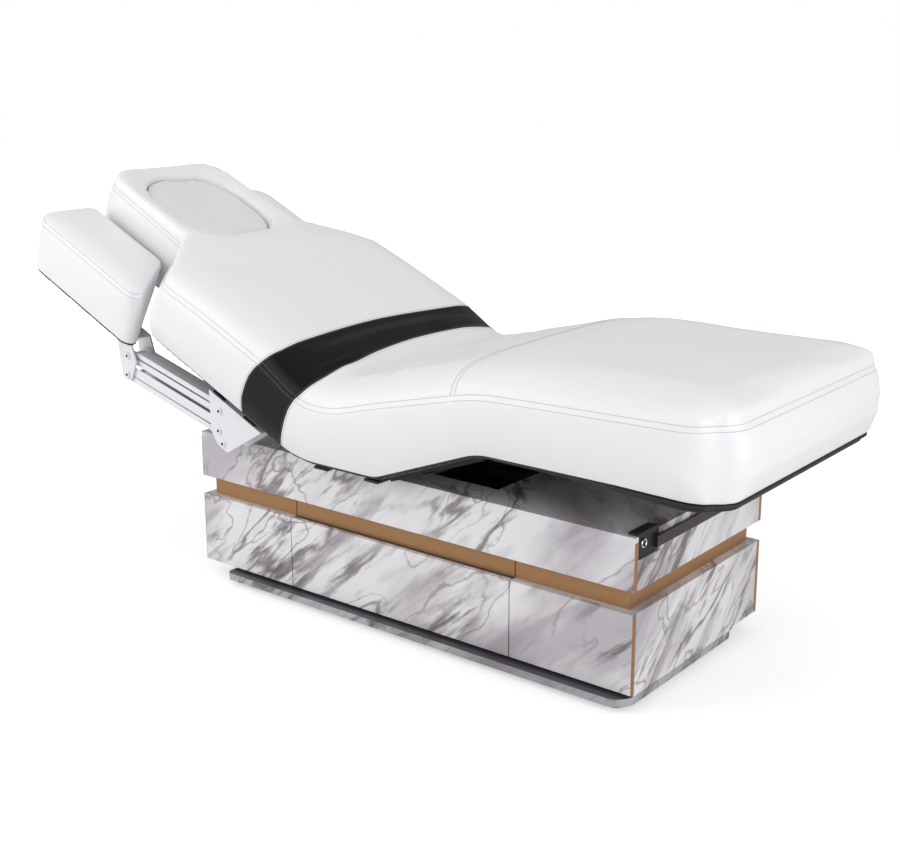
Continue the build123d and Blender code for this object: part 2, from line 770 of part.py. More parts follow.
def plug_outline(shrink_by):
    """Points round the oval face plug, blunter than an ellipse, drawn in by shrink_by."""
    points = []
    for step in range(plug_point_count):
        turn = 2 * pi * step / plug_point_count
        along = abs(cos(turn)) ** plug_power_share * (1 if cos(turn) > 0 else -1)
        across = abs(sin(turn)) ** plug_power_share * (1 if sin(turn) > 0 else -1)
        points.append((plug_centre_u + (plug_half_length - shrink_by) * along,
                       (plug_half_width - shrink_by) * across))
    return points


# Back deck board: the cushion's outline, inset, with the face opening smaller than the plug
outline, radii = back_outline(deck_edge_inset)
outline[0] = (deck_hinge_gap, outline[0][1])
outline[-1] = (deck_hinge_gap, outline[-1][1])
with BuildPart() as back_deck:
    with BuildSketch(back_plane.offset(deck_drop)):
        with BuildLine():
            FilletPolyline(*outline, close=True, radius=radii)
        make_face()
        with BuildLine(mode=Mode.PRIVATE) as deck_hole:
            Spline(*plug_outline(plug_ledge), periodic=True)
        add(make_face(deck_hole.line, mode=Mode.PRIVATE), mode=Mode.SUBTRACT)
    extrude(amount=deck_t)
save(back_deck.part, "back_deck")

# The seam line of the mattress from the band to the foot end, and its closed side profile
band_seam = back_point(band_end_u, seam_w)
seat_seam_z = hinge_z + seat_seam_w
hip_vertex_u = (seat_seam_z - hinge_z - seam_w * back_cos) / back_sin
hip_vertex = back_point(hip_vertex_u, seam_w)
lap_vertex = (lap_x + lap_vertex_offset, seat_seam_z)
knee_vertex = (knee_x + knee_vertex_offset, leg_seam_z)
seat_base_z = hinge_z + deck_top_w
hip_base_u = (seat_base_z - hinge_z - deck_top_w * back_cos) / back_sin
lap_base_u = (seat_base_z - hinge_z - deck_top_w * thigh_cos) / thigh_sin
knee_base_u = (leg_base_z - hinge_z - deck_top_w * thigh_cos) / thigh_sin
station_shares = (-1.0, -0.955, -0.78, 0.0, 0.78, 0.955, 1.0)
crown_shares = (0.0, 0.5, 0.85, 1.0, 0.85, 0.5, 0.0)


def mattress_profile(lift, tuck):
    """Side profile of the seat, thigh and leg, its top raised by lift and its base by tuck."""
    with BuildSketch(Plane.XZ) as profile:
        with BuildLine():
            start = back_point(band_end_u, deck_top_w + tuck)
            top_start = back_point(band_end_u, seam_w + lift)
            top_hip = (hip_vertex[0] + lift * back_sin, hip_vertex[1] + lift)
            top_lap = (lap_vertex[0], lap_vertex[1] + lift)
            top_knee = (knee_vertex[0], knee_vertex[1] + lift)
            top = FilletPolyline(top_start, top_hip, top_lap, top_knee, (leg_end_x, leg_seam_z + lift),
                                 radius=(hip_bend_radius, lap_bend_radius, knee_bend_radius))
            hip_base = back_point(hip_base_u, deck_top_w)
            lap_base = thigh_point(lap_base_u, deck_top_w)
            knee_base = thigh_point(knee_base_u, deck_top_w)
            Polyline(top @ 1, (leg_end_x, leg_base_z + tuck),
                     (knee_base[0], knee_base[1] + tuck), (lap_base[0], lap_base[1] + tuck),
                     (hip_base[0], hip_base[1] + tuck), start, top @ 0)
        make_face()
    return profile.sketch


with BuildPart() as mattress_blank:
    blank_sections = []
    for station, rise in zip(station_shares, crown_shares):
        tuck = tuck_rise if abs(station) == 1 else 0
        section = mattress_profile(crown * rise, tuck)
        blank_sections.append(Pos(0, station * mattress_half_width, 0) * section)
    loft(sections=blank_sections, ruled=True)
    # the corners at the foot end are rounded in plan
    with BuildSketch(Plane.XY):
        with BuildLine():
            start_x = back_point(head_end_u, 0)[0]
            FilletPolyline((start_x, -mattress_half_width), (leg_end_x, -mattress_half_width),
                           (leg_end_x, mattress_half_width), (start_x, mattress_half_width),
                           close=True, radius=(0, foot_corner_radius, foot_corner_radius, 0))
        make_face()
    extrude(amount=2 * leg_seam_z, mode=Mode.INTERSECT)


def slice_between(points, label):
    """The part of the mattress inside a region given by X and Z points, saved as a piece."""
    with BuildPart() as piece:
        add(mattress_blank.part)
        with BuildSketch(Plane.XZ):
            with BuildLine():
                Polyline(*points, close=True)
            make_face()
        extrude(amount=2 * mattress_half_width, both=True, mode=Mode.INTERSECT)
    save(piece.part, label)


# Cuts through the mattress: the hip fold under the black band, the lap fold and the knee fold
reach_w = seam_w + 2 * crown
half_bend = radians(thigh_angle / 2)
hip_rear_low = back_point(band_end_u - face_gap, 0)
hip_rear_high = back_point(band_end_u - face_gap, reach_w)
band_front_high = back_point(band_start_u, reach_w)
hip_cut_x = hip_x + hip_cut_offset
hip_cut_low = (hip_cut_x, hinge_z)
hip_cut_high = (hip_cut_x, hinge_z + band_start_u * back_sin
                + (hip_cut_offset + band_start_u * back_cos) * back_cos / back_sin)
lap_low = (lap_x, hinge_z)
lap_high = (lap_x - reach_w * tan(half_bend), hinge_z + reach_w)
knee_low = (knee_x, knee_z)
knee_high = (knee_x - reach_w * tan(half_bend), knee_z + reach_w)
foot_low = (leg_end_x + overrun, knee_z)
foot_high = (leg_end_x + overrun, knee_z + reach_w)


def beside(point, shift):
    """A cut's end, moved along X."""
    return (point[0] + shift, point[1])


slice_between([hip_rear_low, hip_rear_high, beside(band_front_high, -face_gap),
               beside(hip_cut_high, -face_gap), beside(hip_cut_low, -face_gap)], "hip_fold")
slice_between([hip_cut_low, hip_cut_high, band_front_high,
               beside(lap_high, -lap_fold_half - face_gap),
               beside(lap_low, -lap_fold_half / 2 - face_gap)], "seat_cushion")
slice_between([beside(lap_low, -lap_fold_half / 2), beside(lap_high, -lap_fold_half),
               beside(lap_high, lap_fold_half), beside(lap_low, lap_fold_half / 2)], "lap_fold")
slice_between([beside(lap_low, lap_fold_half / 2 + face_gap),
               beside(lap_high, lap_fold_half + face_gap),
               beside(knee_high, -knee_fold_half_top - face_gap),
               beside(knee_low, -knee_fold_half_bottom - face_gap)], "thigh_cushion")
slice_between([beside(knee_low, -knee_fold_half_bottom), beside(knee_high, -knee_fold_half_top),
               beside(knee_high, knee_fold_half_top), beside(knee_low, knee_fold_half_bottom)],
              "knee_fold")
slice_between([beside(knee_low, knee_fold_half_bottom + face_gap),
               beside(knee_high, knee_fold_half_top + face_gap), foot_high, foot_low], "leg_cushion")


def back_section(lift, tuck):
    """Side profile of the back cushion in X and Z, its top raised by lift and its base by tuck."""
    with BuildSketch(Plane.XZ) as profile:
        with BuildLine():
            Polyline(back_point(band_end_u, deck_top_w + tuck), back_point(band_end_u, seam_w + lift),
                     back_point(head_end_u, seam_w + lift), back_point(head_end_u, deck_top_w + tuck),
                     close=True)
        make_face()
    return profile.sketch


# Back cushion: crowned, drawn in at the base, cut to the shoulders and the head block
outline, radii = back_outline(0)
with BuildPart() as back_cushion:
    back_sections = []
    for station, rise in zip(station_shares, crown_shares):
        tuck = tuck_rise if abs(station) == 1 else 0
        back_sections.append(Pos(0, station * mattress_half_width, 0) * back_section(crown * rise, tuck))
    loft(sections=back_sections, ruled=True)
    with BuildSketch(back_plane):
        with BuildLine():
            FilletPolyline(*outline, close=True, radius=radii)
        make_face()
        with BuildLine(mode=Mode.PRIVATE) as cushion_hole:
            Spline(*plug_outline(0), periodic=True)
        add(make_face(cushion_hole.line, mode=Mode.PRIVATE), mode=Mode.SUBTRACT)
    extrude(amount=seam_w + 2 * crown, mode=Mode.INTERSECT)
save(back_cushion.part, "back_cushion")

# Face plug: rests on the deck's ledge round the opening, its top edge drawn in
plug_top_w = seam_w + crown / 2 + plug_crown
with BuildPart() as face_plug:
    for w, drawn_in in ((deck_top_w + face_gap, face_gap), (plug_top_w - edge_round / 2, face_gap),
                        (plug_top_w, edge_round)):
        with BuildSketch(back_plane.offset(w)):
            with BuildLine():
                Spline(*plug_outline(drawn_in), periodic=True)
            make_face()
    loft(ruled=True)
save(face_plug.part, "face_plug")


# Back frame: torque tubes on the hip pins, two rails, flat ties out to the armrest mounts
tube_inner_y = lug_inner_y + lug_t + slide_gap
tube_outer_y = lever_y + lever_width / 2
bore_radius = pin_radius + pin_clearance
tie_us = (pivot_upper_u + tie_width / 2, pivot_upper_u - 5 * tie_width / 2)
strap_end_u = head_end_u - deck_edge_inset - knife
rod_gap_y = rod_eye_t / 2 + slide_gap
back_slot_run = lever_drop * (1 / cos(radians(lever_swing_angle)) - 1)
thigh_slot_run = thigh_lever_drop * (1 / cos(radians(thigh_lever_swing_angle)) - 1)


def hinge_tubes(hinge_x, radius):
    """Two tubes on a hinge's pins, one each side of the carriage frame, without their bores."""
    for y in (-tube_inner_y, tube_outer_y):
        with BuildSketch(upright(y)) as profile:
            with Locations((hinge_x, hinge_z)):
                Circle(radius)
        extrude(profile.sketch, amount=tube_outer_y - tube_inner_y)


def hinge_bore(hinge_x):
    """The bore for a hinge's pins, right across the part."""
    with BuildSketch(upright(tube_outer_y + overrun)) as profile:
        with Locations((hinge_x, hinge_z)):
            Circle(bore_radius)
    extrude(profile.sketch, amount=2 * (tube_outer_y + overrun), mode=Mode.SUBTRACT)


def lever_plates(hinge_x, turn, drop, run, slack, middle_y):
    """Two slotted lever plates that hang from a hinge tube either side of a rod's eye."""
    half_slot = rod_pin_radius + slack
    for y in (middle_y - rod_gap_y, middle_y + rod_gap_y + lever_t):
        with BuildSketch(upright(y)) as profile:
            with Locations(Location((hinge_x, hinge_z), turn)):
                with Locations((0, -(drop + run) / 2)):
                    Rectangle(2 * (half_slot + lever_rim), drop + run)
                with Locations((0, -drop - run)):
                    Circle(half_slot + lever_rim)
                with Locations((0, -drop - run / 2)):
                    SlotCenterToCenter(run, 2 * half_slot, rotation=90, mode=Mode.SUBTRACT)
        extrude(profile.sketch, amount=lever_t)


with BuildPart() as back_frame:
    with BuildSketch(back_plane.offset(deck_drop)):
        for sign in side_sign.values():
            with Locations((rail_length / 2, sign * rail_centre_y)):
                Rectangle(rail_length, rail_width)
    extrude(amount=-rail_depth)
    with BuildSketch(back_plane.offset(deck_drop)):
        for sign in side_sign.values():
            with Locations(((tie_us[0] + strap_end_u) / 2, sign * head_strap_y)):
                Rectangle(strap_end_u - tie_us[0], head_strap_width)
        for u in tie_us:
            with Locations((u, 0)):
                Rectangle(tie_width, 2 * arm_outer_y)
        with Locations((strap_end_u - head_tie_width / 2, 0)):
            Rectangle(head_tie_width, 2 * head_strap_y)
    extrude(amount=-strap_t)
    hinge_tubes(hip_x, torque_radius)
    lever_plates(hip_x, back_lever_rest_angle, lever_drop, back_slot_run, lever_slack, lever_y)
    hinge_bore(hip_x)
save(back_frame.part, "back_frame")

# Thigh frame: hinge tubes, two flat bars, ramp-shaped gussets, a lever and knee knuckles
strap_bottom_w = deck_drop - strap_t
thigh_bar_end_u = thigh_length - knuckle_length
with BuildPart() as thigh_frame:
    with BuildSketch(thigh_plane.offset(deck_drop)):
        for sign in side_sign.values():
            with Locations((thigh_bar_end_u / 2, sign * thigh_bar_y)):
                Rectangle(thigh_bar_end_u, tie_width)
        with Locations((thigh_bar_end_u - tie_width / 2, 0)):
            Rectangle(tie_width, 2 * thigh_bar_y + tie_width)
        with Locations((gusset_length + tie_width / 2, 0)):
            Rectangle(tie_width, 2 * strap_half_length)
    extrude(amount=-strap_t)
    hinge_tubes(lap_x, thigh_tube_radius)
    for y in (-thigh_bar_y - tie_width / 2 + lever_t, thigh_bar_y + tie_width / 2):
        with BuildSketch(upright(y)):
            with BuildLine():
                Polyline(thigh_point(0, strap_bottom_w + knife), thigh_point(0, -gusset_drop),
                         thigh_point(gusset_drop, -gusset_drop),
                         thigh_point(gusset_length, strap_bottom_w),
                         thigh_point(gusset_length, strap_bottom_w + knife), close=True)
            make_face()
        extrude(amount=lever_t)
    lever_plates(lap_x, thigh_lever_rest_angle, thigh_lever_drop, thigh_slot_run, thigh_lever_slack,
                 -lever_y)
    hinge_bore(lap_x)
    for y in (-knuckle_y, knuckle_y + knuckle_width):
        with BuildSketch(upright(y)):
            with BuildLine():
                Polyline(thigh_point(thigh_bar_end_u - knife, strap_bottom_w),
                         thigh_point(thigh_bar_end_u - knife, deck_drop),
                         thigh_point(thigh_length - deck_hinge_gap + face_gap, deck_drop),
                         thigh_point(thigh_length, knee_axis_w + knuckle_radius),
                         thigh_point(thigh_length, knee_axis_w - knuckle_radius), close=True)
            make_face()
            with Locations((knee_x, knee_z)):
                Circle(knuckle_radius)
        extrude(amount=knuckle_width)
    # knee pins reach outwards from the thigh's knuckles
    for y in (-knuckle_y - knuckle_width / 2, knuckle_y + 2 * knuckle_width + slide_gap):
        with BuildSketch(upright(y)):
            with Locations((knee_x, knee_z)):
                Circle(knuckle_pin_radius)
        extrude(amount=3 * knuckle_width / 2 + slide_gap)
save(thigh_frame.part, "thigh_frame")

with BuildPart() as thigh_deck:
    with BuildSketch(thigh_plane.offset(deck_drop)):
        with Locations((thigh_length / 2, 0)):
            Rectangle(thigh_length - 2 * deck_hinge_gap, 2 * deck_half_width)
    extrude(amount=deck_t)
save(thigh_deck.part, "thigh_deck")

# Leg frame: two flat bars with ties and knuckles on the knee pins
leg_bar_start_x = knee_x + knuckle_length
leg_bar_end_x = leg_end_x - leg_deck_inset - deck_edge_inset
leg_bar_y = knuckle_y + knuckle_width + slide_gap + knuckle_width / 2
with BuildPart() as leg_frame:
    with BuildSketch(Plane.XY.offset(leg_under_z)):
        for sign in side_sign.values():
            with Locations(((leg_bar_start_x + leg_bar_end_x) / 2, sign * leg_bar_y)):
                Rectangle(leg_bar_end_x - leg_bar_start_x, tie_width)
        for x in (leg_bar_start_x + tie_width, leg_bar_end_x - tie_width / 2):
            with Locations((x, 0)):
                Rectangle(tie_width, 2 * leg_bar_y + tie_width)
    extrude(amount=-strap_t)
    for y in (-knuckle_y - knuckle_width - slide_gap, knuckle_y + 2 * knuckle_width + slide_gap):
        with BuildSketch(upright(y)):
            with BuildLine():
                Polyline((leg_bar_start_x + knife, leg_under_z - strap_t),
                         (leg_bar_start_x + knife, leg_under_z),
                         (knee_x + deck_hinge_gap - face_gap, leg_under_z),
                         (knee_x, knee_z + knuckle_radius), (knee_x, knee_z - knuckle_radius), close=True)
            make_face()
            with Locations((knee_x, knee_z)):
                Circle(knuckle_radius)
                Circle(knuckle_pin_radius + pin_clearance, mode=Mode.SUBTRACT)
        extrude(amount=knuckle_width)
save(leg_frame.part, "leg_frame")

leg_deck_start_x = knee_x + deck_hinge_gap
leg_deck_end_x = leg_end_x - leg_deck_inset
with BuildPart() as leg_deck:
    with BuildSketch(Plane.XY.offset(leg_under_z)):
        with BuildLine():
            FilletPolyline((leg_deck_start_x, -deck_half_width), (leg_deck_end_x, -deck_half_width),
                           (leg_deck_end_x, deck_half_width), (leg_deck_start_x, deck_half_width),
                           close=True, radius=(0, foot_corner_radius, foot_corner_radius, 0))
        make_face()
    extrude(amount=deck_t)
save(leg_deck.part, "leg_deck")


# Actuators: a tube, a gearbox and a motor beside it; the rod's pin runs in the lever's slot
def actuator(tube_x, axis_z, axis_y, label):
    """A linear actuator along X, fixed to the carriage, with its bore open towards the lever."""
    gearbox_x = tube_x + tube_length + gearbox_length / 2
    with BuildPart() as body:
        with BuildSketch(Plane.YZ.offset(tube_x)):
            with Locations((axis_y, axis_z)):
                Circle(tube_radius)
        extrude(amount=tube_length)
        with BuildSketch(Plane.YZ.offset(tube_x + tube_length - motor_length)) as motor:
            with Locations((axis_y, axis_z + motor_rise)):
                Circle(motor_radius)
        extrude(motor.sketch, amount=motor_length)
        extrude(motor.sketch, amount=-motor_cap_length, taper=motor_cap_angle)
        with BuildSketch(Plane.XY.offset(axis_z - gearbox_bottom)):
            with Locations((gearbox_x, axis_y)):
                RectangleRounded(gearbox_length, gearbox_width, gearbox_length / 6)
        extrude(amount=gearbox_bottom + motor_rise + motor_radius - slide_gap)
        with BuildSketch(Plane.YZ.offset(tube_x - overrun)):
            with Locations((axis_y, axis_z)):
                Circle(rod_radius + bore_gap)
        extrude(amount=tube_length + overrun, mode=Mode.SUBTRACT)
    save(body.part, label)


def actuator_rod(pin_x, axis_z, axis_y, neck, length, label):
    """A rod from its cross pin into the actuator's bore, with a flat neck between lever plates."""
    with BuildPart() as rod:
        with BuildSketch(upright(axis_y + rod_eye_t / 2)):
            with Locations((pin_x, axis_z)):
                Circle(rod_eye_radius)
            with Locations((pin_x + (neck + knife) / 2, axis_z)):
                Rectangle(neck + knife, 2 * rod_radius)
        extrude(amount=rod_eye_t)
        with BuildSketch(upright(axis_y + rod_gap_y + lever_t + slide_gap)):
            with Locations((pin_x, axis_z)):
                Circle(rod_pin_radius)
        extrude(amount=2 * (rod_gap_y + lever_t + slide_gap))
        with BuildSketch(Plane.YZ.offset(pin_x + neck)):
            with Locations((axis_y, axis_z)):
                Circle(rod_radius)
        extrude(amount=length - neck)
    save(rod.part, label)


back_rod_z = hinge_z - lever_drop
thigh_rod_z = hinge_z - thigh_lever_drop
actuator(back_tube_x, back_rod_z, lever_y, "back_actuator")
actuator(thigh_tube_x, thigh_rod_z, -lever_y, "thigh_actuator")
back_pin_x = hip_x + lever_drop * tan(radians(back_lever_rest_angle))
thigh_pin_x = lap_x + thigh_lever_drop * tan(radians(thigh_lever_rest_angle))
actuator_rod(back_pin_x, back_rod_z, lever_y, rod_neck, rod_length, "back_rod")
actuator_rod(thigh_pin_x, thigh_rod_z, -lever_y, thigh_rod_neck, thigh_rod_length, "thigh_rod")


def side_pair(part, label):
    """A piece made on the near side, saved, and its mirror image on the far side."""
    save(part, label + "_near")
    with BuildPart() as mirrored:
        mirror(part, about=Plane.XZ)
    save(mirrored.part, label + "_far")


# Armrest linkage on the near side: pivots, and places along a link and up from it
upper_root = (pivot_upper_u, pivot_upper_w)
lower_root = (pivot_upper_u + pivot_pitch_u, pivot_upper_w + pivot_pitch_w)
upper_tip = (upper_root[0] + link_run_u, upper_root[1] + link_run_w)
lower_tip = (lower_root[0] + link_run_u, lower_root[1] + link_run_w)
link_length = (link_run_u ** 2 + link_run_w ** 2) ** 0.5


def link_point(root, along, up):
    """X and Z of a place along a link from its root pivot and up from its centre line."""
    u = root[0] + (along * link_run_u - up * link_run_w) / link_length
    w = root[1] + (along * link_run_w + up * link_run_u) / link_length
    return back_point(u, w)


def pins_between(pivots):
    """Pins across the linkage at the given pivots, with a bolt head on the outer side."""
    with BuildSketch(upright(-arm_inner_y)) as profile:
        with Locations(*[back_point(*pivot) for pivot in pivots]):
            Circle(arm_pin_radius)
    extrude(profile.sketch, amount=arm_width)
    with BuildSketch(upright(-arm_outer_y)) as profile:
        with Locations(*[back_point(*pivot) for pivot in pivots]):
            Circle(bolt_head_radius)
    extrude(profile.sketch, amount=bolt_head_t)


def two_plates(points):
    """The outer and inner side plates of a bracket, from points in the back section's frame."""
    for y in (-arm_outer_y + arm_plate_t, -arm_inner_y):
        with BuildSketch(upright(y)) as profile:
            with BuildLine():
                Polyline(*[back_point(*point) for point in points], close=True)
            make_face()
        extrude(profile.sketch, amount=arm_plate_t)


# Mount bracket under the back frame's ties: two plates, a web and the inner pivots
mount_front_u = pivot_upper_u + mount_front
mount_rear_u = pivot_upper_u - mount_rear
mount_points = [(mount_front_u, arm_web_w), (mount_rear_u, arm_web_w),
                (stop_u - mount_toe_rear, stop_w - plate_margin),
                (stop_u + mount_toe_front, stop_w - plate_margin),
                (lower_root[0] + root_margin_u, lower_root[1] - root_margin_w)]
with BuildPart() as arm_mount:
    two_plates(mount_points)
    with BuildSketch(upright(-arm_inner_y)):
        with BuildLine():
            Polyline(back_point(mount_front_u, arm_web_w), back_point(mount_rear_u, arm_web_w),
                     back_point(mount_rear_u + arm_plate_t, arm_web_w - arm_plate_t),
                     back_point(mount_front_u - arm_plate_t, arm_web_w - arm_plate_t), close=True)
        make_face()
    extrude(amount=arm_width)
    pins_between([upper_root, lower_root, (stop_u, stop_w)])
side_pair(arm_mount.part, "arm_mount")


def channel_link(root, outer_y, inner_y, low, high, web_low, web_high, end_radius):
    """A channel link: two flanges with pivot bores and a web between them."""
    for y in (-outer_y + link_wall, -inner_y):
        with BuildSketch(upright(y)) as profile:
            with BuildLine():
                Polyline(link_point(root, 0, low), link_point(root, link_length, low),
                         link_point(root, link_length, high), link_point(root, 0, high), close=True)
            make_face()
            with Locations(link_point(root, 0, 0), link_point(root, link_length, 0)):
                Circle(end_radius)
                Circle(arm_pin_radius + pin_clearance, mode=Mode.SUBTRACT)
        extrude(profile.sketch, amount=link_wall)
    with BuildSketch(upright(-inner_y)) as profile:
        with BuildLine():
            Polyline(link_point(root, link_web_inset, web_low),
                     link_point(root, link_length - link_web_inset, web_low),
                     link_point(root, link_length - link_web_inset, web_high),
                     link_point(root, link_web_inset, web_high), close=True)
        make_face()
    extrude(profile.sketch, amount=outer_y - inner_y)


with BuildPart() as arm_lower:
    channel_link(lower_root, lower_link_outer_y, lower_link_inner_y, -link_end_radius, lower_link_rise,
                 -link_end_radius, -link_end_radius + link_wall, link_end_radius)
side_pair(arm_lower.part, "arm_lower_link")

with BuildPart() as arm_upper:
    channel_link(upper_root, upper_link_outer_y, upper_link_inner_y, -upper_link_drop, upper_link_rise,
                 upper_link_rise - link_wall, upper_link_rise, upper_link_rise)
side_pair(arm_upper.part, "arm_upper_link")

# Pad bracket: two plates with the outer pivots, and a plate under the armrest pad
heel_w = lower_tip[1] - root_margin_w
bracket_points = [(upper_tip[0] + bracket_front, pad_bottom_w), (pad_plate_start_u, pad_bottom_w),
                  (lower_tip[0] - bracket_waist, upper_tip[1]),
                  (lower_tip[0] - bracket_waist, lower_tip[1] - bracket_heel_w),
                  (lower_tip[0] - bracket_heel_u, heel_w), (lower_tip[0] + bracket_waist, heel_w)]
with BuildPart() as pad_bracket:
    two_plates(bracket_points)
    with BuildSketch(back_plane.offset(pad_bottom_w)):
        with Locations(((pad_plate_start_u + pad_plate_u) / 2, (arm_outer_y + arm_inner_y) / 2)):
            Rectangle(pad_plate_u - pad_plate_start_u, arm_width)
    extrude(amount=-arm_plate_t)
    pins_between([upper_tip, lower_tip])
side_pair(pad_bracket.part, "pad_bracket")

# Armrest pad: slanted at the shoulder, drawn in towards its base, crowned on top
pad_seam_w = pad_bottom_w + pad_height
with BuildPart() as arm_pad:
    for w, drawn_in in ((pad_bottom_w, pad_tuck), (pad_seam_w, 0), (pad_seam_w + pad_crown, pad_crown_inset)):
        with BuildSketch(back_plane.offset(w)):
            with BuildLine():
                FilletPolyline((pad_start_u + drawn_in, pad_outer_y - drawn_in),
                               (pad_end_u - drawn_in, pad_outer_y - drawn_in),
                               (pad_end_u - drawn_in, pad_inner_y + drawn_in),
                               (pad_start_u + pad_slant + drawn_in, pad_inner_y + drawn_in), close=True,
                               radius=(pad_shoulder_radius, pad_corner_radius,
                                       pad_inner_radius, pad_inner_radius))
            make_face()
    loft(ruled=True)
side_pair(arm_pad.part, "arm_pad")
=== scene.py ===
"""Looks of the treatment table: finishes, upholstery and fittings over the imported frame."""
import json
import logging
import math
from collections.abc import Callable, Iterator
from contextlib import contextmanager
from dataclasses import dataclass
from enum import Enum

import bmesh
import bpy
import numpy as np
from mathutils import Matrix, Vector
from mathutils.bvhtree import BVHTree
from mathutils.kdtree import KDTree

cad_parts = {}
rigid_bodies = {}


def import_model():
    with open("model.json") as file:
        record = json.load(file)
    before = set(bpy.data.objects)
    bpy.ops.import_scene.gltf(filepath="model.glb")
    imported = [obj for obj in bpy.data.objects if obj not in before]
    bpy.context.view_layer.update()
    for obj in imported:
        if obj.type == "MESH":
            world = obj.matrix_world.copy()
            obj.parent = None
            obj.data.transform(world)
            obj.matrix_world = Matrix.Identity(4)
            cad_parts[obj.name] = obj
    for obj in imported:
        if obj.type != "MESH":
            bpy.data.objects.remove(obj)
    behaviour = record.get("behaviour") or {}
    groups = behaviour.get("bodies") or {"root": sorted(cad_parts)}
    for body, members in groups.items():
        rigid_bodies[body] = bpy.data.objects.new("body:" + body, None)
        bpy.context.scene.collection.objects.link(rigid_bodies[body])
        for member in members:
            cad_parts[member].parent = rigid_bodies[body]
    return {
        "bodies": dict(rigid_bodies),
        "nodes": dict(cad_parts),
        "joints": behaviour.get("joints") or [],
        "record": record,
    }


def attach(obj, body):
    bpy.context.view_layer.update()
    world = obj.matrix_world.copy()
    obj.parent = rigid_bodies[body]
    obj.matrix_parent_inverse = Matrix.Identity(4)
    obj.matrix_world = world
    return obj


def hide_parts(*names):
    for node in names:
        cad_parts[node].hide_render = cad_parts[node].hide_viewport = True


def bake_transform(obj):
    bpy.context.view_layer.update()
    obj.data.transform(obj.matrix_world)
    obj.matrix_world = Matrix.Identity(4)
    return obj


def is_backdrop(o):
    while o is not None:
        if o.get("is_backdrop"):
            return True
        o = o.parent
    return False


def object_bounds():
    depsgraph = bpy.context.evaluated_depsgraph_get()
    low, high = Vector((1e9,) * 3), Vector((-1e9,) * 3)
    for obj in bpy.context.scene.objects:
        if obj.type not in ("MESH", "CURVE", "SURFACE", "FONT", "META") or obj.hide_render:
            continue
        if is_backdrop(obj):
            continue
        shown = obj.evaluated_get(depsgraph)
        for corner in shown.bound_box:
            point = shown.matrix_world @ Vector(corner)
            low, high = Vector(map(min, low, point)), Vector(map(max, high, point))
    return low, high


logging.basicConfig(level=logging.INFO, format="%(message)s")
log = logging.getLogger("table")

MM = 0.001
Field = Callable[[np.ndarray], np.ndarray]


class Slot(Enum):
    """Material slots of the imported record."""

    MARBLE = "marbled_board"
    PLINTH = "plinth_board"
    CARCASS = "carcass_board"
    BRONZE = "bronze_strip"
    BLACK_FRAME = "black_frame"
    WHITE_FRAME = "white_frame"
    RAIL = "dark_rail"
    RING = "bright_ring"
    STEEL = "steel_tube"
    ACTUATOR = "actuator_case"
    DRAWER = "drawer_board"
    FOOT = "foot_pad"
    DECK = "deck_board"
    WHITE = "white_upholstery"
    BLACK = "black_upholstery"


@dataclass(frozen=True)
class Finish:
    """Constant values of a plain finish."""

    color: tuple[float, float, float]
    roughness: float
    metallic: float = 0.0
    coat: float = 0.0
    mottle: float = 0.0
    grain: float = 0.0
    grain_scale: float = 900.0
    specular: float = 0.5


FINISHES = {
    Slot.CARCASS: Finish((0.055, 0.055, 0.06), 0.55, mottle=0.2),
    Slot.BRONZE: Finish((0.43, 0.235, 0.105), 0.38, metallic=0.55, mottle=0.15, grain=0.04,
                        grain_scale=1400.0),
    Slot.BLACK_FRAME: Finish((0.010, 0.010, 0.011), 0.48, mottle=0.3, grain=0.12),
    Slot.WHITE_FRAME: Finish((0.82, 0.82, 0.84), 0.34, coat=0.15, mottle=0.2, grain=0.05),
    Slot.RAIL: Finish((0.020, 0.013, 0.018), 0.36, coat=0.1, mottle=0.2),
    Slot.RING: Finish((0.78, 0.78, 0.79), 0.12, metallic=1.0),
    Slot.STEEL: Finish((0.50, 0.50, 0.52), 0.30, metallic=1.0, mottle=0.3),
    Slot.ACTUATOR: Finish((0.014, 0.014, 0.016), 0.38, mottle=0.2, grain=0.08),
    Slot.DRAWER: Finish((0.55, 0.54, 0.53), 0.50, mottle=0.2),
    Slot.FOOT: Finish((0.014, 0.014, 0.014), 0.7, grain=0.1),
    Slot.DECK: Finish((0.012, 0.012, 0.013), 0.55, mottle=0.3),
    Slot.WHITE: Finish((0.88, 0.88, 0.89), 0.42, mottle=0.25, grain=0.10, grain_scale=700.0),
    Slot.BLACK: Finish((0.005, 0.0045, 0.0055), 0.42, mottle=0.2, grain=0.12, grain_scale=700.0,
                       specular=0.22),
}
PLUG_FINISH = Finish((0.79, 0.79, 0.805), 0.50, mottle=0.25, grain=0.12, grain_scale=700.0)
# The thread is grey as painted shade: the real white thread lies in a shaded groove.
THREAD_PAINTED_GROOVE_SHADE = Finish((0.60, 0.60, 0.63), 0.7)
BLACK_THREAD_FINISH = Finish((0.10, 0.10, 0.11), 0.6)
ZIP_FINISH = Finish((0.012, 0.012, 0.013), 0.45, grain=0.3, grain_scale=260.0)
MARBLE_ROUGHNESS, MARBLE_MOTTLE = 0.32, 0.12
# Painted shade: the plinth's upward faces are coloured this dark grey.
PLINTH_TOP_PAINTED_SHADE = (0.045, 0.043, 0.050)
PLINTH_SHADE, PLINTH_SHARE = (0.12, 0.115, 0.12), 0.52
COAT_ROUGHNESS = 0.2
GRAIN_DEPTH = 0.0006


@dataclass(frozen=True)
class Noise:
    """A noise in coordinates along, across and beside the veins."""

    scales: tuple[float, float, float]
    shift: float
    detail: float = 8.0
    rough: float = 0.45
    distort: float = 0.1


@dataclass(frozen=True)
class Layer:
    """One colour of the marble print: where its noise shows it, and what limits it."""

    noise: Noise
    span: tuple[float, float]
    color: tuple[float, float, float]
    share: float = 1.0
    ridge: bool = False
    mask: Noise | None = None
    mask_span: tuple[float, float] = (0.0, 1.0)


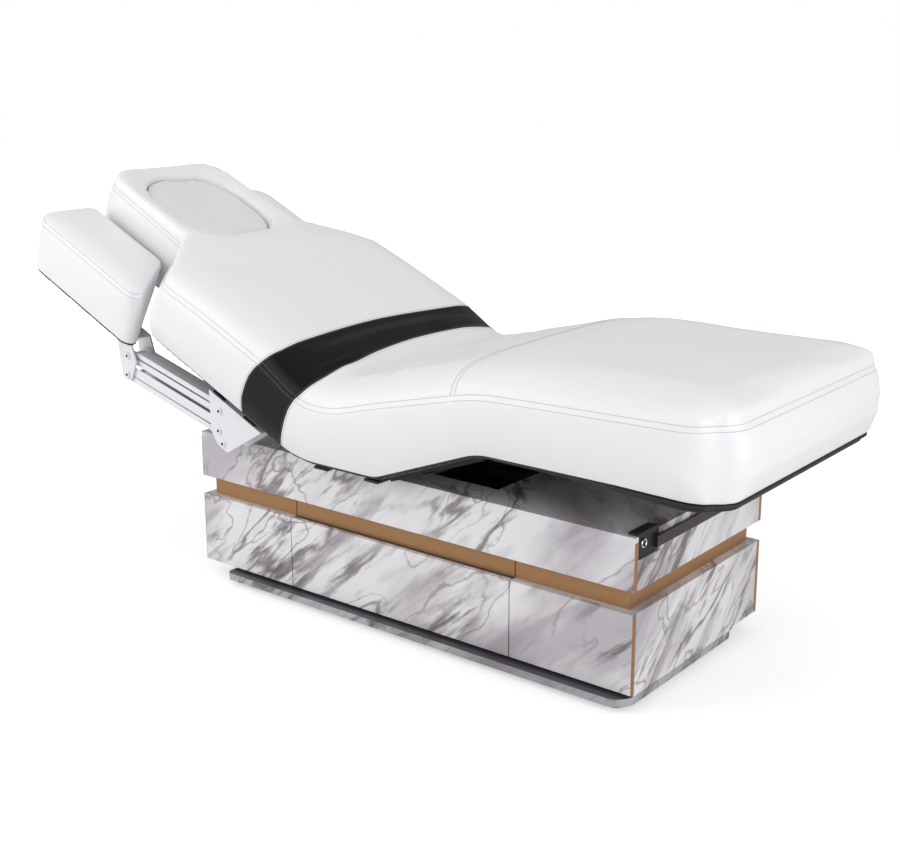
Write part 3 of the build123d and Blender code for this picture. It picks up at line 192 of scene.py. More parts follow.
VEIN_ALONG = Vector((1.0, 1.0, 1.75)).normalized()
VEIN_ACROSS = Vector((1.0, 1.0, -1.15)).normalized()
MARBLE_LIGHT = (0.84, 0.83, 0.84)
PATCHES = Noise((1.6, 4.6, 1.8), 9.3, 3.0, 0.5, 0.3)
RUST_PATCHES = Noise((1.2, 3.0, 1.4), 31.0, 2.0, 0.5, 0.0)
CLOUDS = Noise((1.3, 5.4, 1.4), 0.0, 5.0, 0.52, 0.2)
HAZE = Noise((2.2, 13.0, 2.8), 21.7, 5.0, 0.58, 0.15)
STROKES = Noise((3.0, 24.0, 4.0), 3.1, 6.0, 0.62, 0.15)
BROAD, GREY = Noise((1.2, 7.0, 1.8), 57.3), Noise((3.0, 6.4, 3.0), 14.2)
RUST = Noise((1.8, 5.8, 2.2), 41.0)
MARBLE = (
    Layer(CLOUDS, (0.42, 0.63), (0.52, 0.49, 0.52)),
    Layer(HAZE, (0.49, 0.68), (0.35, 0.315, 0.335), 0.72),
    Layer(STROKES, (0.52, 0.64), (0.12, 0.09, 0.09), 0.85, False, PATCHES, (0.35, 0.50)),
    Layer(BROAD, (0.0, 0.024), (0.13, 0.10, 0.10), 0.8, True, PATCHES, (0.36, 0.50)),
    Layer(GREY, (0.0, 0.010), (0.16, 0.13, 0.13), 0.6, True, PATCHES, (0.36, 0.52)),
    Layer(RUST, (0.0, 0.010), (0.25, 0.15, 0.115), 0.55, True, RUST_PATCHES, (0.48, 0.58)),
)


class NodeKit:
    """Small helpers that build shader node trees."""

    def __init__(self, tree: bpy.types.NodeTree) -> None:
        """Keeps the tree that the helpers add to."""
        self.tree = tree

    def add(self, kind: str, **settings) -> bpy.types.Node:
        """Adds a node.

        Args:
            kind: the node's Blender type name.
            **settings: properties to set, or inputs by index as i0, i1 and so on.

        Returns:
            The new node.
        """
        node = self.tree.nodes.new(kind)
        for key, value in settings.items():
            if key[0] == "i" and key[1:].isdigit():
                self.feed(node.inputs[int(key[1:])], value)
            else:
                setattr(node, key, value)
        return node

    def feed(self, socket: bpy.types.NodeSocket, value) -> None:
        """Links a socket, or sets a constant, on an input."""
        if isinstance(value, bpy.types.NodeSocket):
            self.tree.links.new(value, socket)
        else:
            socket.default_value = value

    def fill(self, node: bpy.types.Node, **values) -> bpy.types.Node:
        """Feeds a node's inputs by name, with _ for a space, and returns the node."""
        for name, value in values.items():
            self.feed(node.inputs[name.replace("_", " ")], value)
        return node

    def math(self, operation: str, a, b=0.0) -> bpy.types.NodeSocket:
        """Adds a Math node and returns its output."""
        return self.add("ShaderNodeMath", operation=operation, i0=a, i1=b).outputs[0]

    def dot(self, vector, direction) -> bpy.types.NodeSocket:
        """Adds a dot product with a constant direction and returns its value."""
        node = self.add("ShaderNodeVectorMath", operation="DOT_PRODUCT", i0=vector,
                        i1=tuple(direction))
        return node.outputs["Value"]

    def noise(self, vector, scale: float, detail: float, rough: float, distort: float = 0.0):
        """Adds a Noise texture and returns its factor."""
        node = self.add("ShaderNodeTexNoise", i0=vector)
        self.fill(node, Scale=scale, Detail=detail, Roughness=rough, Distortion=distort)
        return node.outputs[0]

    def span(self, value, low: float, high: float, out_low=0.0, out_high=1.0):
        """Maps a range smoothly to another one, and returns the result."""
        node = self.add("ShaderNodeMapRange", interpolation_type="SMOOTHSTEP", i0=value)
        self.fill(node, From_Min=low, From_Max=high, To_Min=out_low, To_Max=out_high)
        return node.outputs[0]

    def mix(self, factor, a, b) -> bpy.types.NodeSocket:
        """Mixes two colours and returns the result."""
        node = self.add("ShaderNodeMix", data_type="RGBA")
        self.feed(node.inputs["Factor"], factor)
        self.feed(node.inputs[6], (*a, 1.0) if isinstance(a, tuple) else a)
        self.feed(node.inputs[7], (*b, 1.0) if isinstance(b, tuple) else b)
        return node.outputs[2]


class GroupLibrary:
    """Node groups that several finishes share."""

    def __init__(self) -> None:
        """Builds the groups."""
        self.grain = self._grain()
        self.mottle = self._mottle()
        self.marble = self._marble()

    @staticmethod
    def _start(name: str, inputs: list, outputs: list) -> tuple:
        """Opens a group.

        Args:
            name: the group's name.
            inputs: pairs of a socket name and its default value.
            outputs: pairs of a socket name and its socket type.

        Returns:
            The tree, its kit, the input node and the output node.
        """
        tree = bpy.data.node_groups.new(name, "ShaderNodeTree")
        for label, value in inputs:
            kind = "NodeSocketVector" if label == "Vector" else "NodeSocketFloat"
            socket = tree.interface.new_socket(label, in_out="INPUT", socket_type=kind)
            if kind == "NodeSocketFloat":
                socket.default_value = value
        for label, kind in outputs:
            tree.interface.new_socket(label, in_out="OUTPUT", socket_type=kind)
        kit = NodeKit(tree)
        return tree, kit, kit.add("NodeGroupInput"), kit.add("NodeGroupOutput")

    def _grain(self) -> bpy.types.NodeTree:
        """A fine pebbled height for coated cloth, powder coat and moulded plastic."""
        tree, kit, given, result = self._start(
            "fine_grain", [("Vector", None), ("Scale", 800.0)], [("Height", "NodeSocketFloat")])
        cells = kit.add("ShaderNodeTexVoronoi", feature="SMOOTH_F1", i0=given.outputs["Vector"])
        kit.fill(cells, Scale=given.outputs["Scale"])
        wide = kit.add("ShaderNodeTexNoise", i0=given.outputs["Vector"])
        kit.fill(wide, Scale=kit.math("MULTIPLY", given.outputs["Scale"], 0.35))
        kit.fill(result, Height=kit.math("ADD", cells.outputs["Distance"], wide.outputs[0]))
        return tree

    def _mottle(self) -> bpy.types.NodeTree:
        """A slow change of roughness, as handling and cleaning leave it."""
        tree, kit, given, result = self._start(
            "handling_mottle", [("Vector", None), ("Base", 0.4), ("Amount", 0.2)],
            [("Roughness", "NodeSocketFloat")])
        cloud = kit.noise(given.outputs["Vector"], 6.0, 4.0, 0.6, 0.4)
        swing = kit.math("MULTIPLY", kit.math("SUBTRACT", cloud, 0.5), given.outputs["Amount"])
        kit.fill(result, Roughness=kit.math("ADD", given.outputs["Base"], swing))
        return tree

    def _marble(self) -> bpy.types.NodeTree:
        """White marble print with veins that climb from lower left to upper right."""
        tree, kit, given, result = self._start(
            "marble_print", [("Vector", None)], [("Color", "NodeSocketColor")])
        axes = (VEIN_ALONG, VEIN_ACROSS, VEIN_ALONG.cross(VEIN_ACROSS))
        base = [kit.dot(given.outputs["Vector"], axis) for axis in axes]
        made: dict[Noise, bpy.types.NodeSocket] = {}

        def field(noise: Noise) -> bpy.types.NodeSocket:
            """The value of a noise, whose nodes are made once."""
            if noise not in made:
                parts = {f"i{k}": kit.math("ADD", kit.math("MULTIPLY", base[k], scale), noise.shift)
                         for k, scale in enumerate(noise.scales)}
                place = kit.add("ShaderNodeCombineXYZ", **parts).outputs[0]
                made[noise] = kit.noise(place, 1.0, noise.detail, noise.rough, noise.distort)
            return made[noise]

        color = MARBLE_LIGHT
        for layer in MARBLE:
            if layer.ridge:
                ridge = kit.math("ABSOLUTE", kit.math("SUBTRACT", field(layer.noise), 0.5))
                shown = kit.span(ridge, *layer.span, 1.0, 0.0)
            else:
                shown = kit.span(field(layer.noise), *layer.span)
            if layer.mask is not None:
                mask = kit.span(field(layer.mask), *layer.mask_span)
                shown = kit.math("MULTIPLY", shown, mask)
            color = kit.mix(kit.math("MULTIPLY", shown, layer.share), color, layer.color)
        kit.fill(result, Color=color)
        return tree


class MaterialLibrary:
    """Materials by record slot, and the few that a slot needs besides."""

    def __init__(self, groups: GroupLibrary) -> None:
        """Builds every material.

        Args:
            groups: the shared node groups.
        """
        self.groups = groups
        self.by_slot = {slot: self.plain(slot.value, finish) for slot, finish in FINISHES.items()}
        self.by_slot[Slot.MARBLE] = self.marbled("marbled_board", None)
        self.by_slot[Slot.PLINTH] = self.marbled("plinth_board", PLINTH_TOP_PAINTED_SHADE)
        self.plug = self.plain("plug_vinyl", PLUG_FINISH)
        # Grey thread: painted shade of the groove that the white thread lies in.
        self.thread = self.plain("thread", THREAD_PAINTED_GROOVE_SHADE)
        self.black_thread = self.plain("black_thread", BLACK_THREAD_FINISH)
        self.zip = self.plain("zip_tape", ZIP_FINISH)

    @staticmethod
    def _open(name: str) -> tuple:
        """A new material with its kit, shader node and Object coordinates."""
        material = bpy.data.materials.new(name)
        material.use_nodes = True
        kit = NodeKit(material.node_tree)
        shader = material.node_tree.nodes["Principled BSDF"]
        place = kit.add("ShaderNodeTexCoord").outputs["Object"]
        return material, kit, shader, place

    def plain(self, name: str, finish: Finish) -> bpy.types.Material:
        """A single-coloured material.

        Args:
            name: the material's name.
            finish: its constant values.

        Returns:
            The material.
        """
        material, kit, shader, place = self._open(name)
        kit.fill(shader, Base_Color=(*finish.color, 1.0), Metallic=finish.metallic,
                 Roughness=finish.roughness, Specular_IOR_Level=finish.specular,
                 Coat_Weight=finish.coat, Coat_Roughness=COAT_ROUGHNESS)
        if finish.mottle:
            self._handled(kit, shader, place, finish.roughness, finish.mottle)
        if finish.grain:
            group = kit.add("ShaderNodeGroup", node_tree=self.groups.grain)
            kit.fill(group, Vector=place, Scale=finish.grain_scale)
            bump = kit.add("ShaderNodeBump")
            kit.fill(bump, Strength=finish.grain, Distance=GRAIN_DEPTH,
                     Height=group.outputs["Height"])
            kit.fill(shader, Normal=bump.outputs["Normal"])
        return material

    def _handled(self, kit: NodeKit, shader, place, base: float, amount: float) -> None:
        """Feeds the slow change of roughness to a shader."""
        group = kit.add("ShaderNodeGroup", node_tree=self.groups.mottle)
        kit.fill(group, Vector=place, Base=base, Amount=amount)
        kit.fill(shader, Roughness=group.outputs["Roughness"])

    def marbled(self, name: str, top: tuple | None) -> bpy.types.Material:
        """The marble laminate, with painted shade on upward faces where a top colour is given.

        Args:
            name: the material's name.
            top: colour of the painted shade on upward faces; where it is given, the whole print is
                also mixed about half toward dark grey.

        Returns:
            The material.
        """
        material, kit, shader, place = self._open(name)
        group = kit.add("ShaderNodeGroup", node_tree=self.groups.marble)
        kit.fill(group, Vector=place)
        color = group.outputs["Color"]
        if top is not None:
            color = kit.mix(PLINTH_SHARE, color, PLINTH_SHADE)
            normal = kit.add("ShaderNodeNewGeometry").outputs["True Normal"]
            facing = kit.dot(normal, (0, 0, 1))
            # Painted shade: upward faces of the plinth take the dark top colour.
            color = kit.mix(kit.span(facing, 0.5, 0.8), color, top)
        kit.fill(shader, Base_Color=color)
        self._handled(kit, shader, place, MARBLE_ROUGHNESS, MARBLE_MOTTLE)
        return material


PUFF_PRESSURE, PUFF_FRAMES = 4.0, 20


@contextmanager
def opened(mesh: bpy.types.Mesh, write: bool = True) -> Iterator[bmesh.types.BMesh]:
    """A mesh opened as a bmesh, and written back afterwards where that is asked for."""
    bm = bmesh.new()
    bm.from_mesh(mesh)
    yield bm
    if write:
        bm.to_mesh(mesh)
    bm.free()


def risen(value: np.ndarray, start: float, length: float) -> np.ndarray:
    """A straight rise from 0 at a start to 1 a length further on."""
    return np.clip((value - start) / length, 0, 1)


def eased(value: np.ndarray, start: float, length: float) -> np.ndarray:
    """The same with soft ends."""
    share = risen(value, start, length)
    return share * share * (3 - 2 * share)


class Shapes:
    """Mesh helpers shared by the pieces."""

    STITCH_STEP, STITCH_PROUD = 0.006, 0.0003

    @staticmethod
    def alone(obj: bpy.types.Object) -> None:
        """Makes an object the only selected and the active one."""
        if bpy.context.object is not None and bpy.context.object.mode != "OBJECT":
            bpy.ops.object.mode_set(mode="OBJECT")
        bpy.ops.object.select_all(action="DESELECT")
        obj.select_set(True)
        bpy.context.view_layer.objects.active = obj

    @staticmethod
    def coords(mesh: bpy.types.Mesh) -> np.ndarray:
        """All vertex places of a mesh, in metres."""
        co = np.zeros(len(mesh.vertices) * 3)
        mesh.vertices.foreach_get("co", co)
        return co.reshape(-1, 3)

    @staticmethod
    def place(mesh: bpy.types.Mesh, co: np.ndarray) -> None:
        """Writes all vertex places of a mesh, in metres."""
        mesh.vertices.foreach_set("co", co.ravel())
        mesh.update()

    @staticmethod
    def copy_nodes(frame: dict, names: list[str], label: str) -> bpy.types.Object:
        """One object with merged copies of CAD nodes.

        Args:
            names: the nodes.
            label: the new object's name.

        Returns:
            The new object, at the origin.
        """
        bm = bmesh.new()
        for name in names:
            bm.from_mesh(frame["nodes"][name].data)
        bmesh.ops.remove_doubles(bm, verts=bm.verts, dist=1e-5)
        mesh = bpy.data.meshes.new(label)
        bm.to_mesh(mesh)
        bm.free()
        return Shapes.linked(label, mesh)

    @staticmethod
    def linked(label: str, data: bpy.types.ID) -> bpy.types.Object:
        """A new object in the scene with the data given."""
        obj = bpy.data.objects.new(label, data)
        bpy.context.scene.collection.objects.link(obj)
        return obj

    @staticmethod
    def apply(obj: bpy.types.Object, kind: str, **settings) -> None:
        """Adds a modifier with its settings and applies it."""
        Shapes.alone(obj)
        modifier = obj.modifiers.new(kind.lower(), kind)
        for key, value in settings.items():
            setattr(modifier, key, value)
        bpy.ops.object.modifier_apply(modifier=modifier.name)

    @staticmethod
    def bvh(obj: bpy.types.Object) -> BVHTree:
        """A search tree over a mesh's faces."""
        with opened(obj.data, write=False) as bm:
            return BVHTree.FromBMesh(bm)

    @staticmethod
    def pull_to(obj: bpy.types.Object, model: BVHTree, share: float) -> None:
        """Moves each point a share of the way to the nearest one of a model."""
        for vert in obj.data.vertices:
            near = model.find_nearest(vert.co)[0]
            vert.co = vert.co.lerp(near, share)
        obj.data.update()

    @staticmethod
    def outer_shell(obj: bpy.types.Object) -> None:
        """Keeps only the largest connected part of a mesh."""
        with opened(obj.data) as bm:
            seen: set = set()
            parts = []
            for start in bm.verts:
                if start in seen:
                    continue
                stack, part = [start], []
                seen.add(start)
                while stack:
                    vert = stack.pop()
                    part.append(vert)
                    for edge in vert.link_edges:
                        other = edge.other_vert(vert)
                        if other not in seen:
                            seen.add(other)
                            stack.append(other)
                parts.append(part)
            parts.sort(key=len)
            for part in parts[:-1]:
                bmesh.ops.delete(bm, geom=part, context="VERTS")

    @staticmethod
    def inflate(obj: bpy.types.Object, pinned: np.ndarray, cap: float) -> None:
        """Puffs a cushion up with a short cloth simulation and keeps each point near its start.

        Args:
            obj: the cushion.
            pinned: for each vertex, how firmly it is held, from 0 to 1.
            cap: how far a point may move, in metres.
        """
        start = Shapes.coords(obj.data)
        group = obj.vertex_groups.new(name="held")
        pinned = np.round(pinned, 2)
        for level in np.unique(pinned[pinned > 0]):
            held = [int(i) for i in np.flatnonzero(pinned == level)]
            group.add(held, float(level), "REPLACE")
        modifier = obj.modifiers.new("puff", "CLOTH")
        cloth = modifier.settings
        cloth.quality = 5
        cloth.mass = 0.3
        cloth.tension_stiffness = cloth.compression_stiffness = 20
        cloth.shear_stiffness = 10
        cloth.bending_stiffness = 1.0
        cloth.use_pressure = True
        cloth.uniform_pressure_force = PUFF_PRESSURE
        cloth.effector_weights.gravity = 0
        cloth.vertex_group_mass = group.name
        modifier.collision_settings.use_collision = False
        modifier.point_cache.frame_start = 1
        modifier.point_cache.frame_end = PUFF_FRAMES
        for frame in range(1, PUFF_FRAMES + 1):
            bpy.context.scene.frame_set(frame)
        evaluated = obj.evaluated_get(bpy.context.evaluated_depsgraph_get())
        end = Shapes.coords(evaluated.data)
        obj.modifiers.remove(modifier)
        obj.vertex_groups.remove(group)
        bpy.context.scene.frame_set(1)
        step = end - start
        length = np.linalg.norm(step, axis=1)
        step *= (np.minimum(length, cap) / np.maximum(length, 1e-9))[:, None]
        log.info("%s: moved %.1f mm on average by the simulation", obj.name, length.mean() / MM)
        Shapes.place(obj.data, start + step)

    @staticmethod
    def smooth_shaded(obj: bpy.types.Object, degrees: float) -> None:
        """Smooth shading with sharp edges kept above an angle."""
        Shapes.alone(obj)
        bpy.ops.object.shade_smooth_by_angle(angle=math.radians(degrees))

    @staticmethod
    def cut_along(bm: bmesh.types.BMesh, field: Field) -> None:
        """Splits a mesh's faces exactly along the places where a field is zero.

        Args:
            bm: the mesh.
            field: takes an array of places in mm and returns a value for each.
        """
        layers = bm.verts.layers.float_vector
        layer = layers.get("rest") or layers.new("rest")
        co = np.array([v.co for v in bm.verts])
        values = field(co / MM) * MM
        for vert, value in zip(bm.verts, values):
            vert[layer] = vert.co
            vert.co.z = value
        geometry = bm.verts[:] + bm.edges[:] + bm.faces[:]
        bmesh.ops.bisect_plane(bm, geom=geometry, dist=1e-6, plane_co=(0, 0, 0),
                               plane_no=(0, 0, 1))
        for vert in bm.verts:
            vert.co = vert[layer]

    @staticmethod
    def face_centres(bm: bmesh.types.BMesh) -> np.ndarray:
        """Middle of each face, in mm."""
        return np.array([f.calc_center_median() for f in bm.faces]) / MM

    @staticmethod
    def level_lines(mesh: bpy.types.Mesh, field: Field, keep: Field) -> list[np.ndarray]:
        """Lines on a mesh's surface along which a field is zero.

        Args:
            mesh: the mesh.
            field: takes places in mm and returns a value for each.
            keep: takes places in mm and returns True where the line counts.

        Returns:
            The lines, as arrays of places in metres.
        """
        co = Shapes.coords(mesh)
        value = field(co / MM)
        value[value == 0] = 1e-9
        crossing: dict = {}
        ends: dict = {}

        def point(a: int, b: int) -> tuple:
            """The key of a crossed edge, whose place it stores."""
            key = (min(a, b), max(a, b))
            if key not in crossing:
                t = value[key[0]] / (value[key[0]] - value[key[1]])
                crossing[key] = co[key[0]] * (1 - t) + co[key[1]] * t
            return key

        sign = value > 0
        for polygon in mesh.polygons:
            verts = polygon.vertices
            flags = [sign[v] for v in verts]
            if all(flags) or not any(flags):
                continue
            keys = [point(verts[i - 1], verts[i]) for i in range(len(verts))
                    if flags[i - 1] != flags[i]]
            if len(keys) == 2:
                ends.setdefault(keys[0], []).append(keys[1])
                ends.setdefault(keys[1], []).append(keys[0])
        names = list(crossing)
        wanted = set()
        if names:
            flags = keep(np.array([crossing[k] for k in names]) / MM)
            wanted = {k for k, f in zip(names, flags) if f}
        lines = []
        left = set(wanted)

        def walk(start) -> list:
            """Follows a line from one key until it ends."""
            path = [start]
            left.discard(start)
            while True:
                following = [k for k in ends.get(path[-1], []) if k in left]
                if not following:
                    return path
                path.append(following[0])
                left.discard(following[0])

        for start in names:
            if start in left and sum(e in wanted for e in ends.get(start, [])) == 1:
                lines.append(walk(start))
        while left:
            path = walk(next(iter(sorted(left))))
            if len(path) > 2 and path[0] in ends.get(path[-1], []):
                path.append(path[0])
            lines.append(path)
        return [np.array([crossing[k] for k in path]) for path in lines if len(path) > 4]

    @staticmethod
    def resampled(line: np.ndarray, step: float, passes: int = 3) -> np.ndarray:
        """A line with evenly spaced points, smoothed a little."""
        gap = np.linalg.norm(np.diff(line, axis=0), axis=1)
        run = np.concatenate([[0], np.cumsum(gap)])
        count = max(2, int(run[-1] / step))
        at = np.linspace(0, run[-1], count + 1)
        out = np.stack([np.interp(at, run, line[:, k]) for k in range(3)], axis=1)
        closed = np.linalg.norm(line[0] - line[-1]) < 1e-6
        for _ in range(passes):
            mid = (out[:-2] + 2 * out[1:-1] + out[2:]) / 4
            if closed:
                joint = (out[-2] + 2 * out[0] + out[1]) / 4
                out = np.concatenate([[joint], mid, [joint]])
            else:
                out = np.concatenate([out[:1], mid, out[-1:]])
        return out

    @staticmethod
    def seated(line: np.ndarray, surface: BVHTree, proud: float) -> np.ndarray:
        """A line laid on a surface, a little proud of it."""
        out = []
        for point in line:
            place, normal, _, _ = surface.find_nearest(Vector(point))
            out.append(place + normal * proud)
        return np.array(out)

    @staticmethod
    def stitches(obj: bpy.types.Object, fields: list, radius: float) -> bpy.types.Object:
        """Rows of stitches laid on a piece.

        Args:
            obj: the piece.
            fields: for each row, the field that is zero along it and the one that keeps it.
            radius: of the thread, in metres.

        Returns:
            The rows, as one object.
        """
        surface = Shapes.bvh(obj)
        rows = []
        for field, keep in fields:
            for line in Shapes.level_lines(obj.data, field, keep):
                line = Shapes.resampled(line, Shapes.STITCH_STEP)
                rows.append(Shapes.seated(line, surface, Shapes.STITCH_PROUD))
        return Shapes.tube(rows, radius, obj.name + "_stitches")

    @staticmethod
    def tube(lines: list[np.ndarray], radius: float, label: str, sides: int = 2):
        """A mesh of thin tubes along lines.

        Args:
            lines: the centre lines, in metres.
            radius: of the tube, in metres.
            label: the object's name.
            sides: the curve's bevel resolution.

        Returns:
            The mesh object.
        """
        curve = bpy.data.curves.new(label, "CURVE")
        curve.dimensions = "3D"
        curve.bevel_depth = radius
        curve.bevel_resolution = sides
        curve.use_fill_caps = True
        for line in lines:
            closed = np.linalg.norm(line[0] - line[-1]) < 1e-6
            points = line[:-1] if closed else line
            spline = curve.splines.new("POLY")
            spline.points.add(len(points) - 1)
            flat = np.concatenate([points, np.ones((len(points), 1))], axis=1)
            spline.points.foreach_set("co", flat.ravel())
            spline.use_cyclic_u = bool(closed)
        Shapes.alone(Shapes.linked(label, curve))
        bpy.ops.object.convert(target="MESH")
        obj = bpy.context.object
        obj.name = label
        Shapes.smooth_shaded(obj, 60.0)
        return obj


@dataclass(frozen=True)
class MattressSizes:
    """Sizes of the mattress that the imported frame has, in millimetres and degrees."""

    hip: tuple[float, float] = (-74.0, 408.0)
    lap: tuple[float, float] = (186.0, 408.0)
    back_angle: float = 24.7
    thigh_angle: float = 20.7
    thigh_length: float = 321.5
    knee_axis_w: float = 10.0
    deck_top: float = 16.0
    seam: float = 172.0
    seat_seam: float = 175.0
    half_width: float = 408.0
    head_end: float = 1112.0
    leg_length: float = 600.0
    lap_vertex: float = -124.0
    knee_vertex: float = -7.0
    hip_radius: float = 250.0
    lap_radius: float = 280.0
    knee_radius: float = 600.0
    overrun: float = 60.0
    base_radii: tuple[float, float, float] = (300.0, 120.0, 200.0)
    notch_half_width: float = 200.0
    plug_centre: float = 878.0
    plug_half_length: float = 178.0
    plug_half_width: float = 154.0
    pad_bottom: float = -47.0
    pad_seam: float = 110.0
    knee_cut: float = 424.0


class SideProfile:
    """Seam line and base line of the mattress, seen from the side."""

    LIFT_AT = (20.0, 120.0, 200.0, 430.0, 580.0, 730.0, 1110.0)
    LIFT = (0.0, 13.0, 24.0, 23.0, 17.0, 19.0, 21.0)
    LEG_AT = (200.0, 424.0, 620.0, 1090.0)
    LEG_LIFT = (0.0, -5.0, 0.0, 12.0)

    def __init__(self, sizes: MattressSizes) -> None:
        """Works out both lines.

        Args:
            sizes: the mattress sizes.
        """
        s = self.sizes = sizes
        back, thigh = math.radians(s.back_angle), math.radians(s.thigh_angle)
        self.bc, self.bs = math.cos(back), math.sin(back)
        self.tc, self.ts = math.cos(thigh), math.sin(thigh)
        self.knee = (s.lap[0] + s.thigh_length * self.tc - s.knee_axis_w * self.ts,
                     s.lap[1] + s.thigh_length * self.ts + s.knee_axis_w * self.tc)
        self.foot_x = self.knee[0] + s.leg_length
        self.leg_base = self.knee[1] - s.knee_axis_w + s.deck_top
        self.leg_seam = self.knee[1] - s.knee_axis_w + s.seam
        hip_u = (s.seat_seam - s.seam * self.bc) / self.bs
        corners = [self.back(s.head_end + s.overrun, s.seam), self.back(hip_u, s.seam),
                   (s.lap[0] + s.lap_vertex, s.hip[1] + s.seat_seam),
                   (self.knee[0] + s.knee_vertex, self.leg_seam),
                   (self.foot_x + s.overrun, self.leg_seam)]
        self.cad_top = self._rounded(corners, (s.hip_radius, s.lap_radius, s.knee_radius))
        dense = np.linspace(self.cad_top[0, 0], self.cad_top[-1, 0], 400)
        height = np.interp(dense, self.cad_top[:, 0], self.cad_top[:, 1])
        u, _ = self.back_uw(np.column_stack([dense, 0 * dense, height]))
        lift = self.back_lift(u)
        height = height + self.bc * lift + self.leg_lift(dense)
        self.top = np.column_stack([dense + self.bs * lift, height])
        hip_base_u = s.deck_top * (1 - self.bc) / self.bs
        lap_base_u = s.deck_top * (1 - self.tc) / self.ts
        knee_base_u = (self.leg_base - s.hip[1] - s.deck_top * self.tc) / self.ts
        corners = [self.back(s.head_end + s.overrun, s.deck_top),
                   self.back(hip_base_u, s.deck_top), self.thigh(lap_base_u, s.deck_top),
                   self.thigh(knee_base_u, s.deck_top), (self.foot_x + s.overrun, self.leg_base)]
        self.corner_base = np.array(corners)
        self.base = self._rounded(corners, s.base_radii)
        log.info("leg base at %.0f mm", self.leg_base)

    def back_lift(self, u: np.ndarray) -> np.ndarray:
        """How far the back's sewn edge stands above the solid model's, along the back."""
        return np.interp(u, self.LIFT_AT, self.LIFT)

    def leg_lift(self, x: np.ndarray) -> np.ndarray:
        """The same for the thigh and the leg, along the mattress."""
        return np.interp(x, self.LEG_AT, self.LEG_LIFT)

    def back(self, u: float, w: float) -> tuple[float, float]:
        """X and Z of a point along the back and above its plane."""
        hip = self.sizes.hip
        return hip[0] - u * self.bc + w * self.bs, hip[1] + u * self.bs + w * self.bc

    def thigh(self, u: float, w: float) -> tuple[float, float]:
        """X and Z of a point along the thigh and above its plane."""
        lap = self.sizes.lap
        return lap[0] + u * self.tc - w * self.ts, lap[1] + u * self.ts + w * self.tc

    def back_uw(self, p: np.ndarray) -> tuple[np.ndarray, np.ndarray]:
        """Places in the back section's own frame, u along it and w above it."""
        x, z = p[:, 0] - self.sizes.hip[0], p[:, 2] - self.sizes.hip[1]
        return -x * self.bc + z * self.bs, x * self.bs + z * self.bc

    def shift(self, co: np.ndarray, u: np.ndarray | float, w: np.ndarray | float) -> None:
        """Moves places, in metres, along the back and square to it, in mm."""
        co[:, 0] += (w * self.bs - u * self.bc) * MM
        co[:, 2] += (w * self.bc + u * self.bs) * MM

    @staticmethod
    def _rounded(corners: list, radii: tuple) -> np.ndarray:
        """A polyline with its inner corners rounded."""
        out = [np.array(corners[0])]
        for before, here, after, radius in zip(corners, corners[1:], corners[2:], radii):
            a, b, c = (np.array(p) for p in (before, here, after))
            d0, d1 = (a - b) / np.linalg.norm(a - b), (c - b) / np.linalg.norm(c - b)
            half = math.acos(np.clip(d0 @ d1, -1, 1)) / 2
            reach = radius / math.tan(half)
            start, end = b + d0 * reach, b + d1 * reach
            for t in np.linspace(0, 1, 15):
                out.append((1 - t) ** 2 * start + 2 * t * (1 - t) * b + t ** 2 * end)
        out.append(np.array(corners[-1]))
        return np.array(out)

    @staticmethod
    def _distance(line: np.ndarray, p: np.ndarray) -> np.ndarray:
        """How far places are above a line, square to it."""
        height = np.interp(p[:, 0], line[:, 0], line[:, 1])
        return (p[:, 2] - height) / np.sqrt(1 + SideProfile.slope(line, p) ** 2)

    @staticmethod
    def slope(line: np.ndarray, p: np.ndarray) -> np.ndarray:
        """The slope of a line above or below each place."""
        return np.interp(p[:, 0], line[:, 0], np.gradient(line[:, 1], line[:, 0]))

    def below_seam(self, p: np.ndarray) -> np.ndarray:
        """Depth of places below the seam line."""
        return -self._distance(self.top, p)

    def above_base(self, p: np.ndarray) -> np.ndarray:
        """Height of places above the rounded base line."""
        return p[:, 2] - np.interp(p[:, 0], self.base[:, 0], self.base[:, 1])

    def base_lift(self, p: np.ndarray) -> np.ndarray:
        """How far the rounded base line is above the cornered one at each place."""
        smooth = np.interp(p[:, 0], self.base[:, 0], self.base[:, 1])
        return smooth - np.interp(p[:, 0], self.corner_base[:, 0], self.corner_base[:, 1])


@dataclass(frozen=True)
class Edge:
    """A strip below the leg section; sizes in mm, but the radius in metres."""

    name: str
    radius: float
    inset: float
    drop: float
    tuck: float


